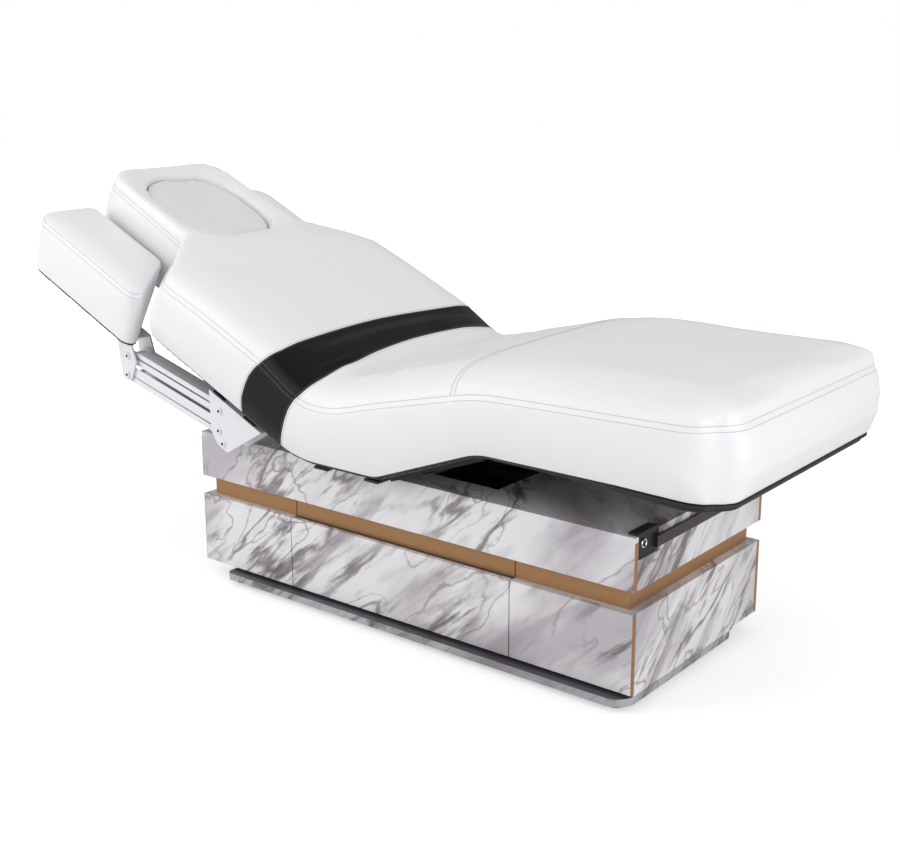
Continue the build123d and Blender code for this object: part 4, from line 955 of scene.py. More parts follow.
class Mattress:
    """The long upholstery: back, black band, seat with thigh, and leg, cut from one puffed form."""

    VOXEL, PULL, PUFF_CAP = 0.0105, 0.8, 0.011
    HELD_BASE, HELD_SEAM, SEAM_FIRM = 18.0, 7.0, 0.8
    BASE_FADE = 90.0
    ZIP, ZIP_HANG, ZIP_RUN = 11.0, 6.0, (840.0, 200.0)
    STITCHES, THREAD = (1.5, 13.5), 0.0007
    BAND_INSET, KNEE_INSET, CUT_MARGIN = 4.0, 6.0, 0.5
    GROOVE_DEPTH, GROOVE_WIDTH = 1.0, 5.0
    ACROSS = (-408.0, -300.0, -150.0, 0.0, 150.0, 408.0)
    DOWN = (16.0, 70.0, 109.0, 141.0, 170.0, 195.0, 232.0)
    REAR = ((175.0, 177.0, 187.0, 187.0, 183.0, 177.0), (38.0, 43.0, 41.0, 38.0, 29.0, 18.0, 0.0))
    FRONT = ((37.0, 48.0, 70.0, 80.0, 83.0, 68.0), (27.0, 28.0, 29.5, 29.0, 23.0, 12.5, 0.0))
    EDGE_DEGREE = 4
    BACK_EASE, LEG_EASE = (70.0, 80.0), (0.0, 150.0)
    PILLOW = ((16.0, 11.0), (18.0, 45.0))
    PILLOW_FOOT, PILLOW_STEP = 2.0, 0.003
    HEAD_AT = (0.0, 250.0, 600.0, 760.0, 900.0, 1000.0, 1112.0)
    HEAD_SHARE = (1.0, 1.0, 0.95, 0.7, 0.6, 0.45, 0.35)
    LEG_AT, LEG_SHARE = (300.0, 424.0, 1090.0), (1.0, 1.12, 0.66)
    BOWL, BOWL_EDGE, BOWL_RUN, HOLE_DEPTH = 12.0, 1.38, 0.38, 60.0
    PLUG_LIP, PLUG_ROW, PLUG_POWER = 20.0, 16.0, 2.7
    CORNER_POWER, FACE_POWER = 4.5, 1.5
    FOOT_CORNER, FOOT_FACE = 95.0, 90.0
    FOOT_AT = (0.0, 25.0, 60.0, 100.0, 140.0, 170.0)
    FOOT_OUT = (-2.0, 6.0, 17.0, 19.0, 13.0, -2.0)
    HEAD_CORNER, HEAD_FACE = 45.0, 80.0
    HEAD_FACE_AT = (0.0, 60.0, 110.0, 150.0, 200.0)
    HEAD_FACE_OUT = (-6.0, 8.0, 12.0, 4.0, -14.0)
    SHOULDER, SHOULDER_AXIS = (575.0, 408.0), (0.776, 0.632)
    SHOULDER_FROM, SHOULDER_DEPTH, SHOULDER_SIDE = 480.0, 45.0, (250.0, 60.0)
    SHOULDER_AT = (0.0, 30.0, 75.0, 130.0, 180.0)
    SHOULDER_OUT = (-8.0, 0.0, 13.0, 8.0, -3.0)
    EDGING = (Edge("zip", 0.0048, 4.0, 7.0, 0.4), Edge("board_edge", 0.0060, 15.0, 17.0, 3.4))
    EDGING_LEVEL, EDGING_STEP, EDGING_RUN = 6.0, 0.004, (640.0, 330.0)
    EDGING_FOOT, EDGING_SIDE = (110.0, 90.0), (250.0, 80.0)
    BAND_BLEND = ((214.0, -4.3), (126.0, 4.3))
    BAND_BLEND_W = 100.0
    BLENDS = {"mattress_seat": ("carriage", "thigh", (112.0, 0.0, 500.0), (262.0, 0.0, 500.0)),
              "mattress_leg": ("thigh", "leg", (426.0, 0.0, 600.0), (546.0, 0.0, 600.0))}
    PIECES = (("mattress_back", Slot.WHITE, ("back_cushion",)),
              ("mattress_band", Slot.BLACK, ("hip_fold",)),
              ("mattress_seat", Slot.WHITE, ("seat_cushion", "lap_fold", "thigh_cushion")),
              ("mattress_leg", Slot.WHITE, ("knee_fold", "leg_cushion")))
    NODES = ["hip_fold", "seat_cushion", "lap_fold", "thigh_cushion", "knee_fold", "leg_cushion",
             "back_cushion"]

    def __init__(self, frame: dict, materials: MaterialLibrary, profile: SideProfile) -> None:
        """Keeps what the pieces are made from.

        Args:
            materials: the finishes.
            profile: the mattress's side profile.
        """
        self.frame, self.materials, self.profile = frame, materials, profile

    def plug_distance(self, p: np.ndarray, grow: float = 0.0) -> np.ndarray:
        """Below 1 inside the face opening's upright wall, above 1 outside it."""
        s = self.profile.sizes
        u, _ = self.profile.back_uw(p)
        along = np.abs((u - s.plug_centre) / (s.plug_half_length + grow))
        across = np.abs(p[:, 1] / (s.plug_half_width + grow))
        return (along ** self.PLUG_POWER + across ** self.PLUG_POWER) ** (1 / self.PLUG_POWER)

    def band_edge(self, p: np.ndarray, across: tuple, down: tuple) -> np.ndarray:
        """Where an edge of the band runs, as a length along the back.

        Args:
            p: the places, in mm.
            across: its lengths from the near side to the far side, at Mattress.ACROSS.
            down: what is added further down the sides, at Mattress.DOWN.

        Returns:
            The edge's length along the back less the place's own.
        """
        u, w = self.profile.back_uw(p)
        curve = np.polyfit(self.ACROSS, across, self.EDGE_DEGREE)
        return np.polyval(curve, p[:, 1]) + np.interp(w, self.DOWN, down) - u

    def band_rear(self, p: np.ndarray) -> np.ndarray:
        """Negative on the head side of the band's rear edge."""
        return self.band_edge(p, *self.REAR)

    def band_front(self, p: np.ndarray) -> np.ndarray:
        """Positive on the foot side of the band's front edge."""
        return self.band_edge(p, *self.FRONT)

    def past_knee(self, p: np.ndarray) -> np.ndarray:
        """How far places are past the cut between seat and leg."""
        return p[:, 0] - self.profile.sizes.knee_cut

    def above_zip(self, p: np.ndarray) -> np.ndarray:
        """Height above the black base strip, which is lower at the foot end where it hangs."""
        strip = self.ZIP - self.ZIP_HANG * risen(p[:, 0], *self.ZIP_RUN)
        return self.profile.above_base(p) - strip

    def inside_cuts(self, p: np.ndarray) -> np.ndarray:
        """True away from the filled faces where the pieces meet."""
        cuts = (self.band_rear(p), self.band_front(p), self.past_knee(p))
        return np.min(np.abs(cuts), axis=0) > self.CUT_MARGIN

    def round_seam(self, p: np.ndarray) -> np.ndarray:
        """Where the rows along the seam are sewn, clear of the face opening."""
        return (self.plug_distance(p, self.PLUG_ROW) > 1) & self.inside_cuts(p)

    def on_cover(self, p: np.ndarray) -> np.ndarray:
        """Where the rows beside the band are sewn, down to the base strip."""
        return (self.above_zip(p) > 0) & self.inside_cuts(p)

    def on_top(self, p: np.ndarray) -> np.ndarray:
        """Where the rows beside the knee are sewn, inside the seam."""
        return (self.profile.below_seam(p) < self.STITCHES[0]) & self.inside_cuts(p)

    def blank(self) -> bpy.types.Object:
        """The whole mattress as one closed, softly rounded and puffed form."""
        obj = Shapes.copy_nodes(self.frame, self.NODES, "mattress_blank")
        model = Shapes.bvh(obj)
        Shapes.apply(obj, "REMESH", mode="VOXEL", voxel_size=self.VOXEL, use_smooth_shade=True)
        Shapes.outer_shell(obj)
        Shapes.apply(obj, "SMOOTH", factor=0.5, iterations=4)
        Shapes.pull_to(obj, model, self.PULL)
        p = Shapes.coords(obj.data) / MM
        held = np.where(self.profile.above_base(p) < self.HELD_BASE, 1.0, 0.0)
        seam = np.abs(self.profile.below_seam(p) - self.HELD_SEAM) < self.HELD_SEAM
        held = np.maximum(held, np.where(seam, self.SEAM_FIRM, 0.0))
        Shapes.inflate(obj, held, self.PUFF_CAP)
        Shapes.apply(obj, "SMOOTH", factor=0.5, iterations=2)
        co = Shapes.coords(obj.data)
        fade = np.clip(1 - self.profile.above_base(co / MM) / self.BASE_FADE, 0, 1)
        co[:, 2] += self.profile.base_lift(co / MM) * fade * MM
        Shapes.place(obj.data, co)
        Shapes.apply(obj, "SUBSURF", levels=1, render_levels=1)
        self.pillow(obj)
        self.groove(obj)
        return obj

    def pillow(self, obj: bpy.types.Object) -> None:
        """Raises the top, which stands up steeply from its seam and is nearly flat further in.

        Args:
            obj: the whole mattress.
        """
        profile = self.profile
        co = Shapes.coords(obj.data)
        u, w = profile.back_uw(co / MM)
        profile.shift(co, 0.0, profile.back_lift(u) * eased(w, *self.BACK_EASE))
        share = eased(profile.above_base(co / MM), *self.LEG_EASE)
        co[:, 2] += profile.leg_lift(co[:, 0] / MM) * share * MM
        p = co / MM
        self.outline(co, p, u, w)
        Shapes.place(obj.data, co)
        lines = Shapes.level_lines(obj.data, lambda q: profile.below_seam(q) - self.PILLOW_FOOT,
                                   lambda q: self.plug_distance(q, self.PLUG_LIP) > 1)
        points = np.concatenate([Shapes.resampled(line, self.PILLOW_STEP, 0) for line in lines])
        tree = KDTree(len(points))
        for index, point in enumerate(points):
            tree.insert(point, index)
        tree.balance()
        reach = np.array([tree.find(c)[2] for c in co]) / MM
        head = np.interp(u, self.HEAD_AT, self.HEAD_SHARE)
        rise = sum(high * (1 - np.exp(-reach / run)) for high, run in self.PILLOW)
        rise *= head * np.interp(p[:, 0], self.LEG_AT, self.LEG_SHARE)
        rise -= self.BOWL * eased(-self.plug_distance(p), -self.BOWL_EDGE, self.BOWL_RUN)
        below = profile.below_seam(p)
        rise = np.where(below < self.PILLOW_FOOT, rise, 0)
        hole = (self.plug_distance(p, self.PLUG_LIP) < 1) & (below > self.PILLOW_FOOT)
        rim = self.PILLOW[0][0] * head - self.BOWL
        rise = np.where(hole, rim * np.clip(1 - below / self.HOLE_DEPTH, 0, 1), rise)
        slope = profile.slope(profile.top, p)
        rise = rise / np.sqrt(1 + slope ** 2) * MM
        co[:, 0] -= slope * rise
        co[:, 2] += rise
        Shapes.place(obj.data, co)

    def outline(self, co: np.ndarray, p: np.ndarray, u: np.ndarray, w: np.ndarray) -> None:
        """Rounds the corners in plan, and swells the end faces and the shoulders.

        Args:
            co: the places, in metres, which are moved.
            p: the same in mm, as they are before it.
            u: their lengths along the back.
            w: their heights above its plane.
        """
        profile, s = self.profile, self.profile.sizes
        side, off = np.sign(p[:, 1]), np.abs(p[:, 1])
        face = risen(p[:, 0], profile.foot_x - self.FOOT_FACE, self.FOOT_FACE) ** self.FACE_POWER
        co[:, 0] += np.interp(profile.above_base(p), self.FOOT_AT, self.FOOT_OUT) * face * MM
        run = self.rounder(p[:, 0] - profile.foot_x, off - s.half_width, self.FOOT_CORNER)
        co[:, 0] += run[0] * MM
        co[:, 1] += run[1] * side * MM
        run = self.rounder(u - s.head_end, off - s.notch_half_width, self.HEAD_CORNER)
        face = risen(u, s.head_end - self.HEAD_FACE, self.HEAD_FACE) ** self.FACE_POWER
        face *= np.interp(w, self.HEAD_FACE_AT, self.HEAD_FACE_OUT)
        along, across = self.SHOULDER_AXIS
        inward = (u - self.SHOULDER[0]) * along + (off - self.SHOULDER[1]) * across
        near = risen(inward, -self.SHOULDER_DEPTH, self.SHOULDER_DEPTH)
        near = near * (u > self.SHOULDER_FROM) * risen(off, *self.SHOULDER_SIDE)
        push = np.interp(w, self.SHOULDER_AT, self.SHOULDER_OUT) * near
        profile.shift(co, run[0] + face + push * along, 0.0)
        co[:, 1] += (run[1] + push * across) * side * MM

    def rounder(self, along: np.ndarray, across: np.ndarray, radius: float) -> tuple:
        """How far places near a corner move for it to be rounder in plan.

        Args:
            along: how far they are past the corner along the mattress.
            across: the same across it.
            radius: how far in from the corner they move.

        Returns:
            What is added along and across.
        """
        a, b = (np.clip((run + radius) / radius, 0, None) for run in (along, across))
        length = np.sqrt(a ** 2 + b ** 2) + 1e-9
        power = self.CORNER_POWER
        scale = ((a / length) ** power + (b / length) ** power) ** (1 / power)
        scale = np.where((a > 0) & (b > 0), scale, 1.0)
        return a * radius * (scale - 1), b * radius * (scale - 1)

    def groove(self, obj: bpy.types.Object) -> None:
        """Draws the surface in a little between the two rows of stitches."""
        co = Shapes.coords(obj.data)
        below = self.profile.below_seam(co / MM)
        normals = np.zeros(len(co) * 3)
        obj.data.vertices.foreach_get("normal", normals)
        outside = self.plug_distance(co / MM, self.PLUG_ROW) > 1
        off = (below - sum(self.STITCHES) / 2) / self.GROOVE_WIDTH
        depth = self.GROOVE_DEPTH * MM * np.exp(-off ** 2) * outside
        Shapes.place(obj.data, co - normals.reshape(-1, 3) * depth[:, None])

    def build(self) -> None:
        """Makes the four pieces with their stitching."""
        blank = self.blank()
        fields = (self.band_rear, self.band_front, self.past_knee, self.above_zip)
        with opened(blank.data) as bm:
            for field in fields:
                Shapes.cut_along(bm, field)
            centre = Shapes.face_centres(bm)
        rear, front, knee, strip = (field(centre) for field in fields)
        part = np.where(rear > 0, 1, 0)
        part[front > 0] = 2
        part[(part == 2) & (knee > 0)] = 3
        for index, (label, slot, nodes) in enumerate(self.PIECES):
            obj = self.piece(blank, label, part == index, strip < 0, self.materials.by_slot[slot])
            if label == "mattress_leg":
                self.edging(obj)
            self.hold([obj, self.stitch(obj)])
            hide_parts(*nodes)
            log.info("%s: %d faces", label, len(obj.data.polygons))
        bpy.data.objects.remove(blank)

    def piece(self, blank: bpy.types.Object, label: str, wanted: np.ndarray,
              zipped: np.ndarray, material: bpy.types.Material) -> bpy.types.Object:
        """One piece cut out of the blank, with its cut faces closed.

        Args:
            blank: the whole mattress.
            label: the piece's name.
            wanted: for each face, whether it belongs to the piece.
            zipped: for each face, whether it is part of the black base strip.
            material: the piece's cover.

        Returns:
            The piece.
        """
        mesh = bpy.data.meshes.new(label)
        with opened(blank.data, write=False) as bm:
            for face, dark in zip(bm.faces, zipped):
                face.material_index = int(dark)
            gone = [f for f, keep in zip(bm.faces, wanted) if not keep]
            bmesh.ops.delete(bm, geom=gone, context="FACES")
            rim = [e for e in bm.edges if e.is_boundary]
            made = bmesh.ops.holes_fill(bm, edges=rim, sides=0)["faces"]
            bmesh.ops.triangulate(bm, faces=made)
            layer = bm.verts.layers.float_vector.get("rest")
            if layer is not None:
                bm.verts.layers.float_vector.remove(layer)
            bmesh.ops.recalc_face_normals(bm, faces=bm.faces)
            bm.to_mesh(mesh)
        obj = Shapes.linked(label, mesh)
        mesh.materials.append(material)
        mesh.materials.append(self.materials.zip)
        Shapes.smooth_shaded(obj, 55.0)
        return obj

    def stitch(self, obj: bpy.types.Object) -> bpy.types.Object:
        """Lays the rows of stitches on a piece.

        Args:
            obj: the piece.

        Returns:
            The rows, as one object.
        """
        band, knee = self.BAND_INSET, self.KNEE_INSET
        rows = [(lambda p, d=depth: self.profile.below_seam(p) - d, self.round_seam)
                for depth in self.STITCHES]
        rows += {
            "mattress_back": [(lambda p: self.band_rear(p) + band, self.on_cover)],
            "mattress_band": [(lambda p: self.band_rear(p) - band, self.on_cover),
                              (lambda p: self.band_front(p) + band, self.on_cover)],
            "mattress_seat": [(lambda p: self.band_front(p) - band, self.on_cover),
                              (lambda p: self.past_knee(p) + knee, self.on_top)],
            "mattress_leg": [(lambda p: self.past_knee(p) - knee, self.on_top)],
        }[obj.name]
        sewn = Shapes.stitches(obj, rows, self.THREAD)
        dark = obj.name == "mattress_band"
        sewn.data.materials.append(self.materials.black_thread if dark else self.materials.thread)
        return sewn

    def edging(self, obj: bpy.types.Object) -> None:
        """Makes the zip and the board edge below the leg section, thicker toward the foot end.

        Args:
            obj: the leg section's cushion.
        """
        start, length = self.EDGING_RUN
        lines = Shapes.level_lines(
            obj.data, lambda p: self.profile.above_base(p) - self.EDGING_LEVEL,
            lambda p: p[:, 0] > start)
        for edge in self.EDGING:
            moved = []
            for line in lines:
                line = Shapes.resampled(line, self.EDGING_STEP)
                x, y = line[:, 0] / MM, line[:, 1] / MM
                ends = risen(x, self.profile.foot_x - self.EDGING_FOOT[0], self.EDGING_FOOT[1])
                fall = risen(x, start, length)
                line[:, 0] -= ends * edge.inset * MM
                line[:, 1] -= risen(np.abs(y), *self.EDGING_SIDE) * np.sign(y) * edge.inset * MM
                line[:, 2] -= (edge.drop * fall - edge.tuck * (1 - fall)) * MM
                moved.append(line)
            item = Shapes.tube(moved, edge.radius, "leg_" + edge.name, 3)
            item.data.materials.append(
                self.materials.zip if edge.name == "zip" else self.materials.by_slot[Slot.DECK])
            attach(item, "leg")

    def hold(self, items: list[bpy.types.Object]) -> None:
        """Attaches the back piece and its stitches to the back body; for the band, the seat and the
        leg it only bakes their transforms, and the blends it gathers are not used.

        Args:
            items: the piece and what is sewn to it.
        """
        blends = dict(self.BLENDS)
        band = []
        for u, y in self.BAND_BLEND:
            x, z = self.profile.back(u, self.BAND_BLEND_W)
            band.append((x, y, z))
        blends["mattress_band"] = ("back", "carriage", *band)
        for item in items:
            if items[0].name in blends:
                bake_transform(item)
            else:
                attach(item, "back")


@dataclass(frozen=True)
class Puff:
    """How a small cushion is remeshed and puffed, in metres."""

    voxel: float
    rounds: int
    cap: float


class Pads:
    """The armrest pads and the face plug."""

    ARM_PUFF, PLUG_PUFF = Puff(0.0065, 14, 0.008), Puff(0.006, 8, 0.004)
    HELD_BASE, HELD_SEAM, SEAM_FIRM = 6.0, 4.0, 0.6
    REACH_OUT, REACH_END, REACH_RUN = 26.0, 760.0, 110.0
    BLACK_BASE = 11.0
    STITCHES, THREAD = (2.0, 13.0), 0.0008
    PLUG_HELD = 150.0
    PLUG_LIFT, PLUG_RUN = 16.0, (90.0, 60.0)

    def __init__(self, frame: dict, materials: MaterialLibrary, profile: SideProfile) -> None:
        """Keeps what the pads are made from."""
        self.frame, self.materials, self.profile = frame, materials, profile

    def puffed(self, node: str, label: str, puff: Puff, held: Field) -> bpy.types.Object:
        """A small cushion made from a CAD node's form.

        Args:
            node: the CAD node.
            label: the new object's name.
            puff: how it is made.
            held: takes places in mm and returns how firmly each is held.

        Returns:
            The cushion.
        """
        obj = Shapes.copy_nodes(self.frame, [node], label)
        Shapes.apply(obj, "REMESH", mode="VOXEL", voxel_size=puff.voxel, use_smooth_shade=True)
        Shapes.apply(obj, "SMOOTH", factor=0.5, iterations=puff.rounds)
        Shapes.inflate(obj, held(Shapes.coords(obj.data) / MM), puff.cap)
        Shapes.apply(obj, "SMOOTH", factor=0.5, iterations=4)
        return obj

    def height(self, p: np.ndarray) -> np.ndarray:
        """Height of places above the back's plane."""
        return self.profile.back_uw(p)[1]

    @staticmethod
    def declare(items: list[bpy.types.Object], body: str, fill: float) -> None:
        """Lets a pad and what is sewn to it ride on a body, whose node it replaces."""
        for item in items:
            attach(item, body)
        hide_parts(body)

    def armrest(self, side: str) -> None:
        """One armrest pad with its two rows of stitches."""
        profile, s = self.profile, self.profile.sizes

        def held(p: np.ndarray) -> np.ndarray:
            """Firm at the base, soft at the seam, free elsewhere."""
            w = self.height(p)
            firm = np.where(w < s.pad_bottom + self.HELD_BASE, 1.0, 0.0)
            seam = np.abs(w - s.pad_seam + self.HELD_SEAM) < self.HELD_SEAM
            return np.maximum(firm, np.where(seam, self.SEAM_FIRM, 0.0))

        def above_black(p: np.ndarray) -> np.ndarray:
            """Height above the black base."""
            return self.height(p) - (s.pad_bottom + self.BLACK_BASE)

        obj = self.puffed("arm_pad_" + side, "armrest_" + side, self.ARM_PUFF, held)
        co = Shapes.coords(obj.data)
        u, w = profile.back_uw(co / MM)
        low = risen(-w, -s.pad_seam, s.pad_seam - s.pad_bottom)
        profile.shift(co, -self.REACH_OUT * low * risen(-u, -self.REACH_END, self.REACH_RUN), 0.0)
        Shapes.place(obj.data, co)
        with opened(obj.data) as bm:
            Shapes.cut_along(bm, above_black)
            for face, level in zip(bm.faces, above_black(Shapes.face_centres(bm))):
                face.material_index = int(level < 0)
            layers = bm.verts.layers.float_vector
            layers.remove(layers["rest"])
        obj.data.materials.append(self.materials.by_slot[Slot.WHITE])
        obj.data.materials.append(self.materials.by_slot[Slot.DECK])
        Shapes.smooth_shaded(obj, 60.0)
        rows = [(lambda p, d=depth: s.pad_seam - d - self.height(p), lambda p: p[:, 0] < np.inf)
                for depth in self.STITCHES]
        sewn = Shapes.stitches(obj, rows, self.THREAD)
        sewn.data.materials.append(self.materials.thread)
        self.declare([obj, sewn], "arm_pad_" + side, 0.9)

    def plug(self) -> None:
        """The face plug, a little greyer than the cushion round it."""
        obj = self.puffed("face_plug", "face_plug_cover", self.PLUG_PUFF,
                          lambda p: np.where(self.height(p) < self.PLUG_HELD, 1.0, 0.0))
        co = Shapes.coords(obj.data)
        lift = risen(self.height(co / MM), *self.PLUG_RUN) * self.PLUG_LIFT
        self.profile.shift(co, 0.0, lift)
        Shapes.place(obj.data, co)
        obj.data.materials.append(self.materials.plug)
        Shapes.smooth_shaded(obj, 60.0)
        self.declare([obj], "face_plug", 0.8)

    def build(self) -> None:
        """Makes the three pads."""
        for side in ("near", "far"):
            self.armrest(side)
        self.plug()


class FrameDresser:
    """Puts finishes and soft edges on the CAD nodes."""

    SLOTS = {
        Slot.MARBLE: ["upper_side_panels", "upper_end_panels", "top_board",
                      "lower_panel_centre", "lower_panel_far", "lower_end_panels",
                      "drawer_front_left", "drawer_front_right"],
        Slot.PLINTH: ["plinth_board"],
        Slot.CARCASS: ["carcass_floor", "carcass_uprights", "carcass_rails", "carcass_walls"],
        Slot.BRONZE: ["band_strips", "edge_strips", "drawer_trim_left", "drawer_trim_right"],
        Slot.BLACK_FRAME: ["rail_brackets", "carriage_frame", "back_frame", "thigh_frame",
                           "leg_frame"],
        Slot.WHITE_FRAME: [f"{node}_{side}" for node in ("arm_mount", "arm_lower_link",
                                                         "arm_upper_link", "pad_bracket")
                           for side in ("near", "far")],
        Slot.RAIL: ["end_rail"],
        Slot.RING: ["rail_rings"],
        Slot.STEEL: ["drawer_slides", "drawer_runners_left", "drawer_runners_right",
                     "column_outers", "column_middles", "column_inners", "back_rod", "thigh_rod"],
        Slot.ACTUATOR: ["control_box", "back_actuator", "thigh_actuator"],
        Slot.DRAWER: ["drawer_box_left", "drawer_box_right"],
        Slot.FOOT: ["levelling_feet"],
        Slot.DECK: ["seat_deck", "back_deck", "thigh_deck", "leg_deck"],
    }
    ROOTS = ((300.0, -34.0), (282.0, -84.0), (256.0, -108.0))
    TIPS = ((663.0, -95.0), (645.0, -145.0))
    BOLTS = (("arm_mount", "near", "back", ROOTS), ("arm_mount", "far", "back", ROOTS),
             ("pad_bracket", "near", "arm_pad_near", TIPS),
             ("pad_bracket", "far", "arm_pad_far", TIPS))
    SOCKET_RADIUS, SOCKET_DEPTH, SOCKET_BEVEL = 0.0042, 0.0012, 0.0002
    SOCKET_TURN, PROBE_FROM = 0.3, 0.6
    BEVELS = {Slot.MARBLE: 0.0006, Slot.PLINTH: 0.001, Slot.BLACK_FRAME: 0.0008,
              Slot.WHITE_FRAME: 0.0009, Slot.ACTUATOR: 0.001, Slot.DECK: 0.001,
              Slot.RAIL: 0.0005}

    def __init__(self, frame: dict, materials: MaterialLibrary) -> None:
        """Keeps the frame and the finishes."""
        self.frame, self.materials = frame, materials

    def dress(self) -> None:
        """Dresses every node that stays in view."""
        for slot, names in self.SLOTS.items():
            for name in names:
                node = self.frame["nodes"][name]
                node.data.materials.clear()
                node.data.materials.append(self.materials.by_slot[slot])
                if slot in self.BEVELS:
                    self.soften(node, self.BEVELS[slot])
        log.info("dressed %d CAD nodes", sum(len(names) for names in self.SLOTS.values()))
        self.paint_socket_shade()

    def paint_socket_shade(self) -> None:
        """Puts a black hexagon on each bolt head of the arm linkages, as painted shade for the
        hollow of its socket.
        """
        profile = SideProfile(MattressSizes())
        for node_name, side, body, places in self.BOLTS:
            out = -1 if side == "near" else 1
            surface = Shapes.bvh(self.frame["nodes"][f"{node_name}_{side}"])
            for index, (u, w) in enumerate(places):
                x, z = profile.back(u, w)
                start = Vector((x * MM, out * self.PROBE_FROM, z * MM))
                hit = surface.ray_cast(start, Vector((0, -out, 0)))[0]
                if hit is None:
                    log.info("no bolt head at %s %d", node_name, index)
                    continue
                bpy.ops.object.select_all(action="DESELECT")
                # Painted shade: a black hexagon prism on the bolt head stands for the shaded hollow
                # of its socket.
                bpy.ops.mesh.primitive_cylinder_add(
                    vertices=6, radius=self.SOCKET_RADIUS, depth=self.SOCKET_DEPTH, location=hit,
                    rotation=(math.pi / 2, self.SOCKET_TURN, 0))
                socket = bpy.context.object
                socket.name = f"bolt_socket_{node_name}_{side}_{index}"
                bpy.ops.object.transform_apply(location=True, rotation=True, scale=True)
                bpy.ops.object.mode_set(mode="EDIT")
                bpy.ops.mesh.select_all(action="SELECT")
                bpy.ops.mesh.bevel(offset=self.SOCKET_BEVEL, segments=1, affect="EDGES")
                bpy.ops.object.mode_set(mode="OBJECT")
                socket.data.materials.append(self.materials.by_slot[Slot.BLACK_FRAME])
                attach(socket, body)

    @staticmethod
    def soften(node: bpy.types.Object, width: float) -> None:
        """Gives a node small rounded edges that catch the light."""
        weld = node.modifiers.new("weld", "WELD")
        weld.merge_threshold = 0.00001
        bevel = node.modifiers.new("bevel", "BEVEL")
        bevel.width = width
        bevel.segments = 2
        bevel.limit_method = "ANGLE"
        bevel.angle_limit = math.radians(40)
        bevel.harden_normals = True
        bevel.use_clamp_overlap = True


@dataclass(frozen=True)
class CameraSizes:
    """The photographed view, as fitted to the cabinet's edges."""

    location: tuple[float, float, float] = (2.24829, -2.69086, 1.42223)
    azimuth: float = 37.948
    elevation: float = 14.773
    lens: float = 55.41
    sensor: float = 36.0
    shift: tuple[float, float] = (-0.01852, -0.01747)
    clip_end: float = 60.0


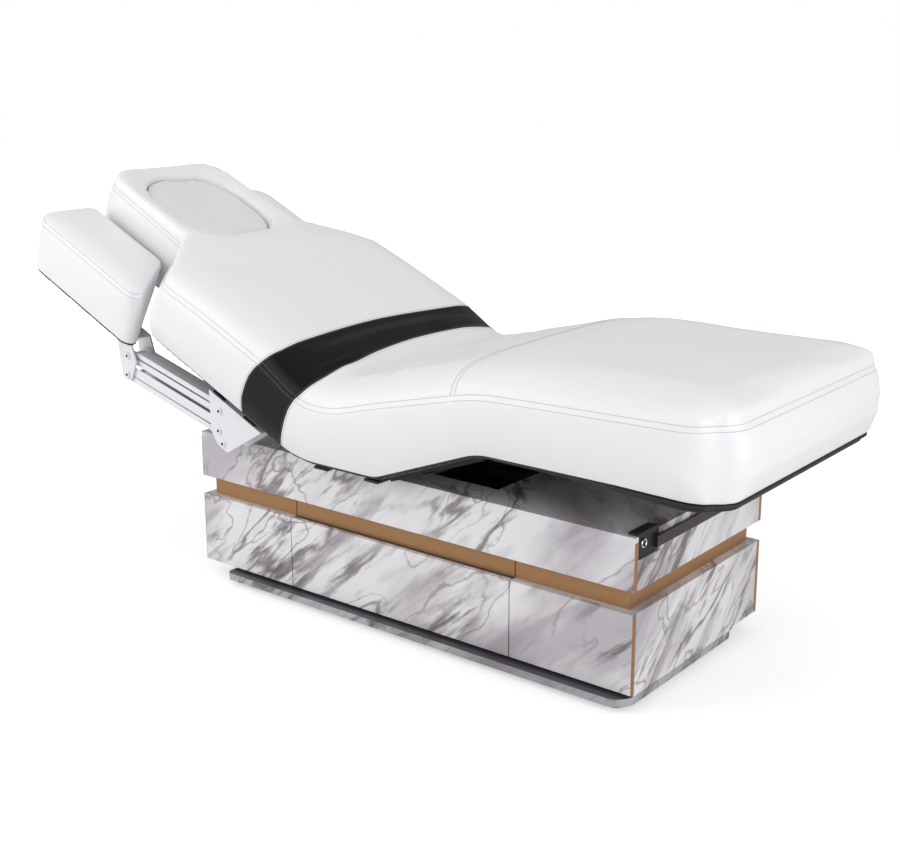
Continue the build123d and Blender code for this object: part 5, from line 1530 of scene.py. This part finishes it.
class Studio:
    """Camera, lamps, floor and backdrop."""

    LAMPS = (("key", (-3.0, -3.4, 2.1), (0.0, -0.2, 0.5), (3.0, 2.8), 78.0),
             ("fill", (4.4, -1.2, 1.2), (0.6, 0.0, 0.5), (2.4, 1.8), 54.0),
             ("top", (0.6, 0.4, 4.2), (0.3, 0.0, 0.6), (3.6, 2.6), 4.0))
    SKY_LOW, SKY_HIGH, SKY_GLOSS = (0.50, 0.50, 0.51), (0.83, 0.83, 0.84), (0.36, 0.36, 0.37)
    SKY_RUN = (-0.2, 0.9)
    FLOOR_SIZE, FLOOR_Z = 30.0, -0.0004
    FLOOR_COLOR = (0.70, 0.70, 0.71, 1.0)
    GLOW = (1.1, 2.6, 0.50, 1.0)

    def camera(self, sizes: CameraSizes) -> None:
        """Sets the photographed view."""
        bpy.ops.object.camera_add(location=sizes.location)
        camera = bpy.context.object
        a, e = math.radians(sizes.azimuth), math.radians(sizes.elevation)
        back = Vector((math.sin(a) * math.cos(e), -math.cos(a) * math.cos(e), math.sin(e)))
        camera.rotation_mode = "QUATERNION"
        camera.rotation_quaternion = (-back).to_track_quat("-Z", "Y")
        camera.data.lens = sizes.lens
        camera.data.sensor_width = sizes.sensor
        camera.data.shift_x, camera.data.shift_y = sizes.shift
        camera.data.clip_end = sizes.clip_end
        bpy.context.scene.camera = camera

    def lamp(self, name: str, place: tuple, target: tuple, size: tuple, power: float) -> None:
        """Adds one soft area lamp.

        Args:
            name: the lamp's name.
            place: where it stands, in metres.
            target: the point it faces.
            size: its two sides, in metres.
            power: its strength, in watts.
        """
        bpy.ops.object.light_add(type="AREA", location=place)
        lamp = bpy.context.object
        lamp.name = name
        lamp.data.shape = "RECTANGLE"
        lamp.data.size, lamp.data.size_y = size
        lamp.data.energy = power
        direction = Vector(target) - Vector(place)
        lamp.rotation_mode = "QUATERNION"
        lamp.rotation_quaternion = direction.to_track_quat("-Z", "Y")
        lamp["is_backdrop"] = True

    def backdrop(self) -> None:
        """A pure white surround for the camera and a soft grey one for the light."""
        world = bpy.data.worlds.new("studio")
        bpy.context.scene.world = world
        world.use_nodes = True
        kit = NodeKit(world.node_tree)
        path = kit.add("ShaderNodeLightPath")
        lift = kit.dot(kit.add("ShaderNodeTexCoord").outputs["Generated"], (0, 0, 1))
        sky = kit.mix(kit.span(lift, *self.SKY_RUN), self.SKY_LOW, self.SKY_HIGH)
        sky = kit.mix(path.outputs["Is Glossy Ray"], sky, self.SKY_GLOSS)
        color = kit.mix(path.outputs["Is Camera Ray"], sky, (1.0, 1.0, 1.0))
        kit.fill(world.node_tree.nodes["Background"], Color=color, Strength=1.0)

    def floor(self) -> None:
        """A floor that is white to the camera and only darkens in the table's own shadow."""
        bpy.ops.mesh.primitive_plane_add(size=self.FLOOR_SIZE, location=(0, 0, self.FLOOR_Z))
        floor = bpy.context.object
        floor.name = "floor"
        material = bpy.data.materials.new("floor")
        material.use_nodes = True
        tree = material.node_tree
        kit = NodeKit(tree)
        shader = kit.fill(tree.nodes["Principled BSDF"], Base_Color=self.FLOOR_COLOR,
                          Roughness=0.9, Specular_IOR_Level=0.1)
        camera_ray = kit.add("ShaderNodeLightPath").outputs["Is Camera Ray"]
        place = kit.add("ShaderNodeTexCoord").outputs["Object"]
        far = kit.add("ShaderNodeVectorMath", operation="LENGTH", i0=place).outputs["Value"]
        strength = kit.math("MULTIPLY", camera_ray, kit.span(far, *self.GLOW))
        glow = kit.fill(kit.add("ShaderNodeEmission"), Color=(1, 1, 1, 1), Strength=strength)
        both = kit.add("ShaderNodeAddShader", i0=shader.outputs[0], i1=glow.outputs[0])
        kit.fill(tree.nodes["Material Output"], Surface=both.outputs[0])
        floor.data.materials.append(material)
        floor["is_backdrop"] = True

    def build(self) -> None:
        """Sets the whole studio."""
        self.camera(CameraSizes())
        self.backdrop()
        self.floor()
        for lamp in self.LAMPS:
            self.lamp(*lamp)
        bpy.context.scene.view_settings.view_transform = "Standard"


class Table:
    """The whole treatment table."""

    def __init__(self) -> None:
        """Loads the frame and builds the finishes."""
        self.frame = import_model()
        self.low, self.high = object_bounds()
        self.materials = MaterialLibrary(GroupLibrary())
        self.profile = SideProfile(MattressSizes())

    def build(self) -> None:
        """Builds everything in order."""
        Studio().build()
        FrameDresser(self.frame, self.materials).dress()
        Mattress(self.frame, self.materials, self.profile).build()
        Pads(self.frame, self.materials, self.profile).build()
        self.write_sizes()

    def write_sizes(self) -> None:
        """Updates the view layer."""
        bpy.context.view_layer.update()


def main() -> None:
    """Builds the scene."""
    Table().build()


if __name__ == "__main__":
    main()
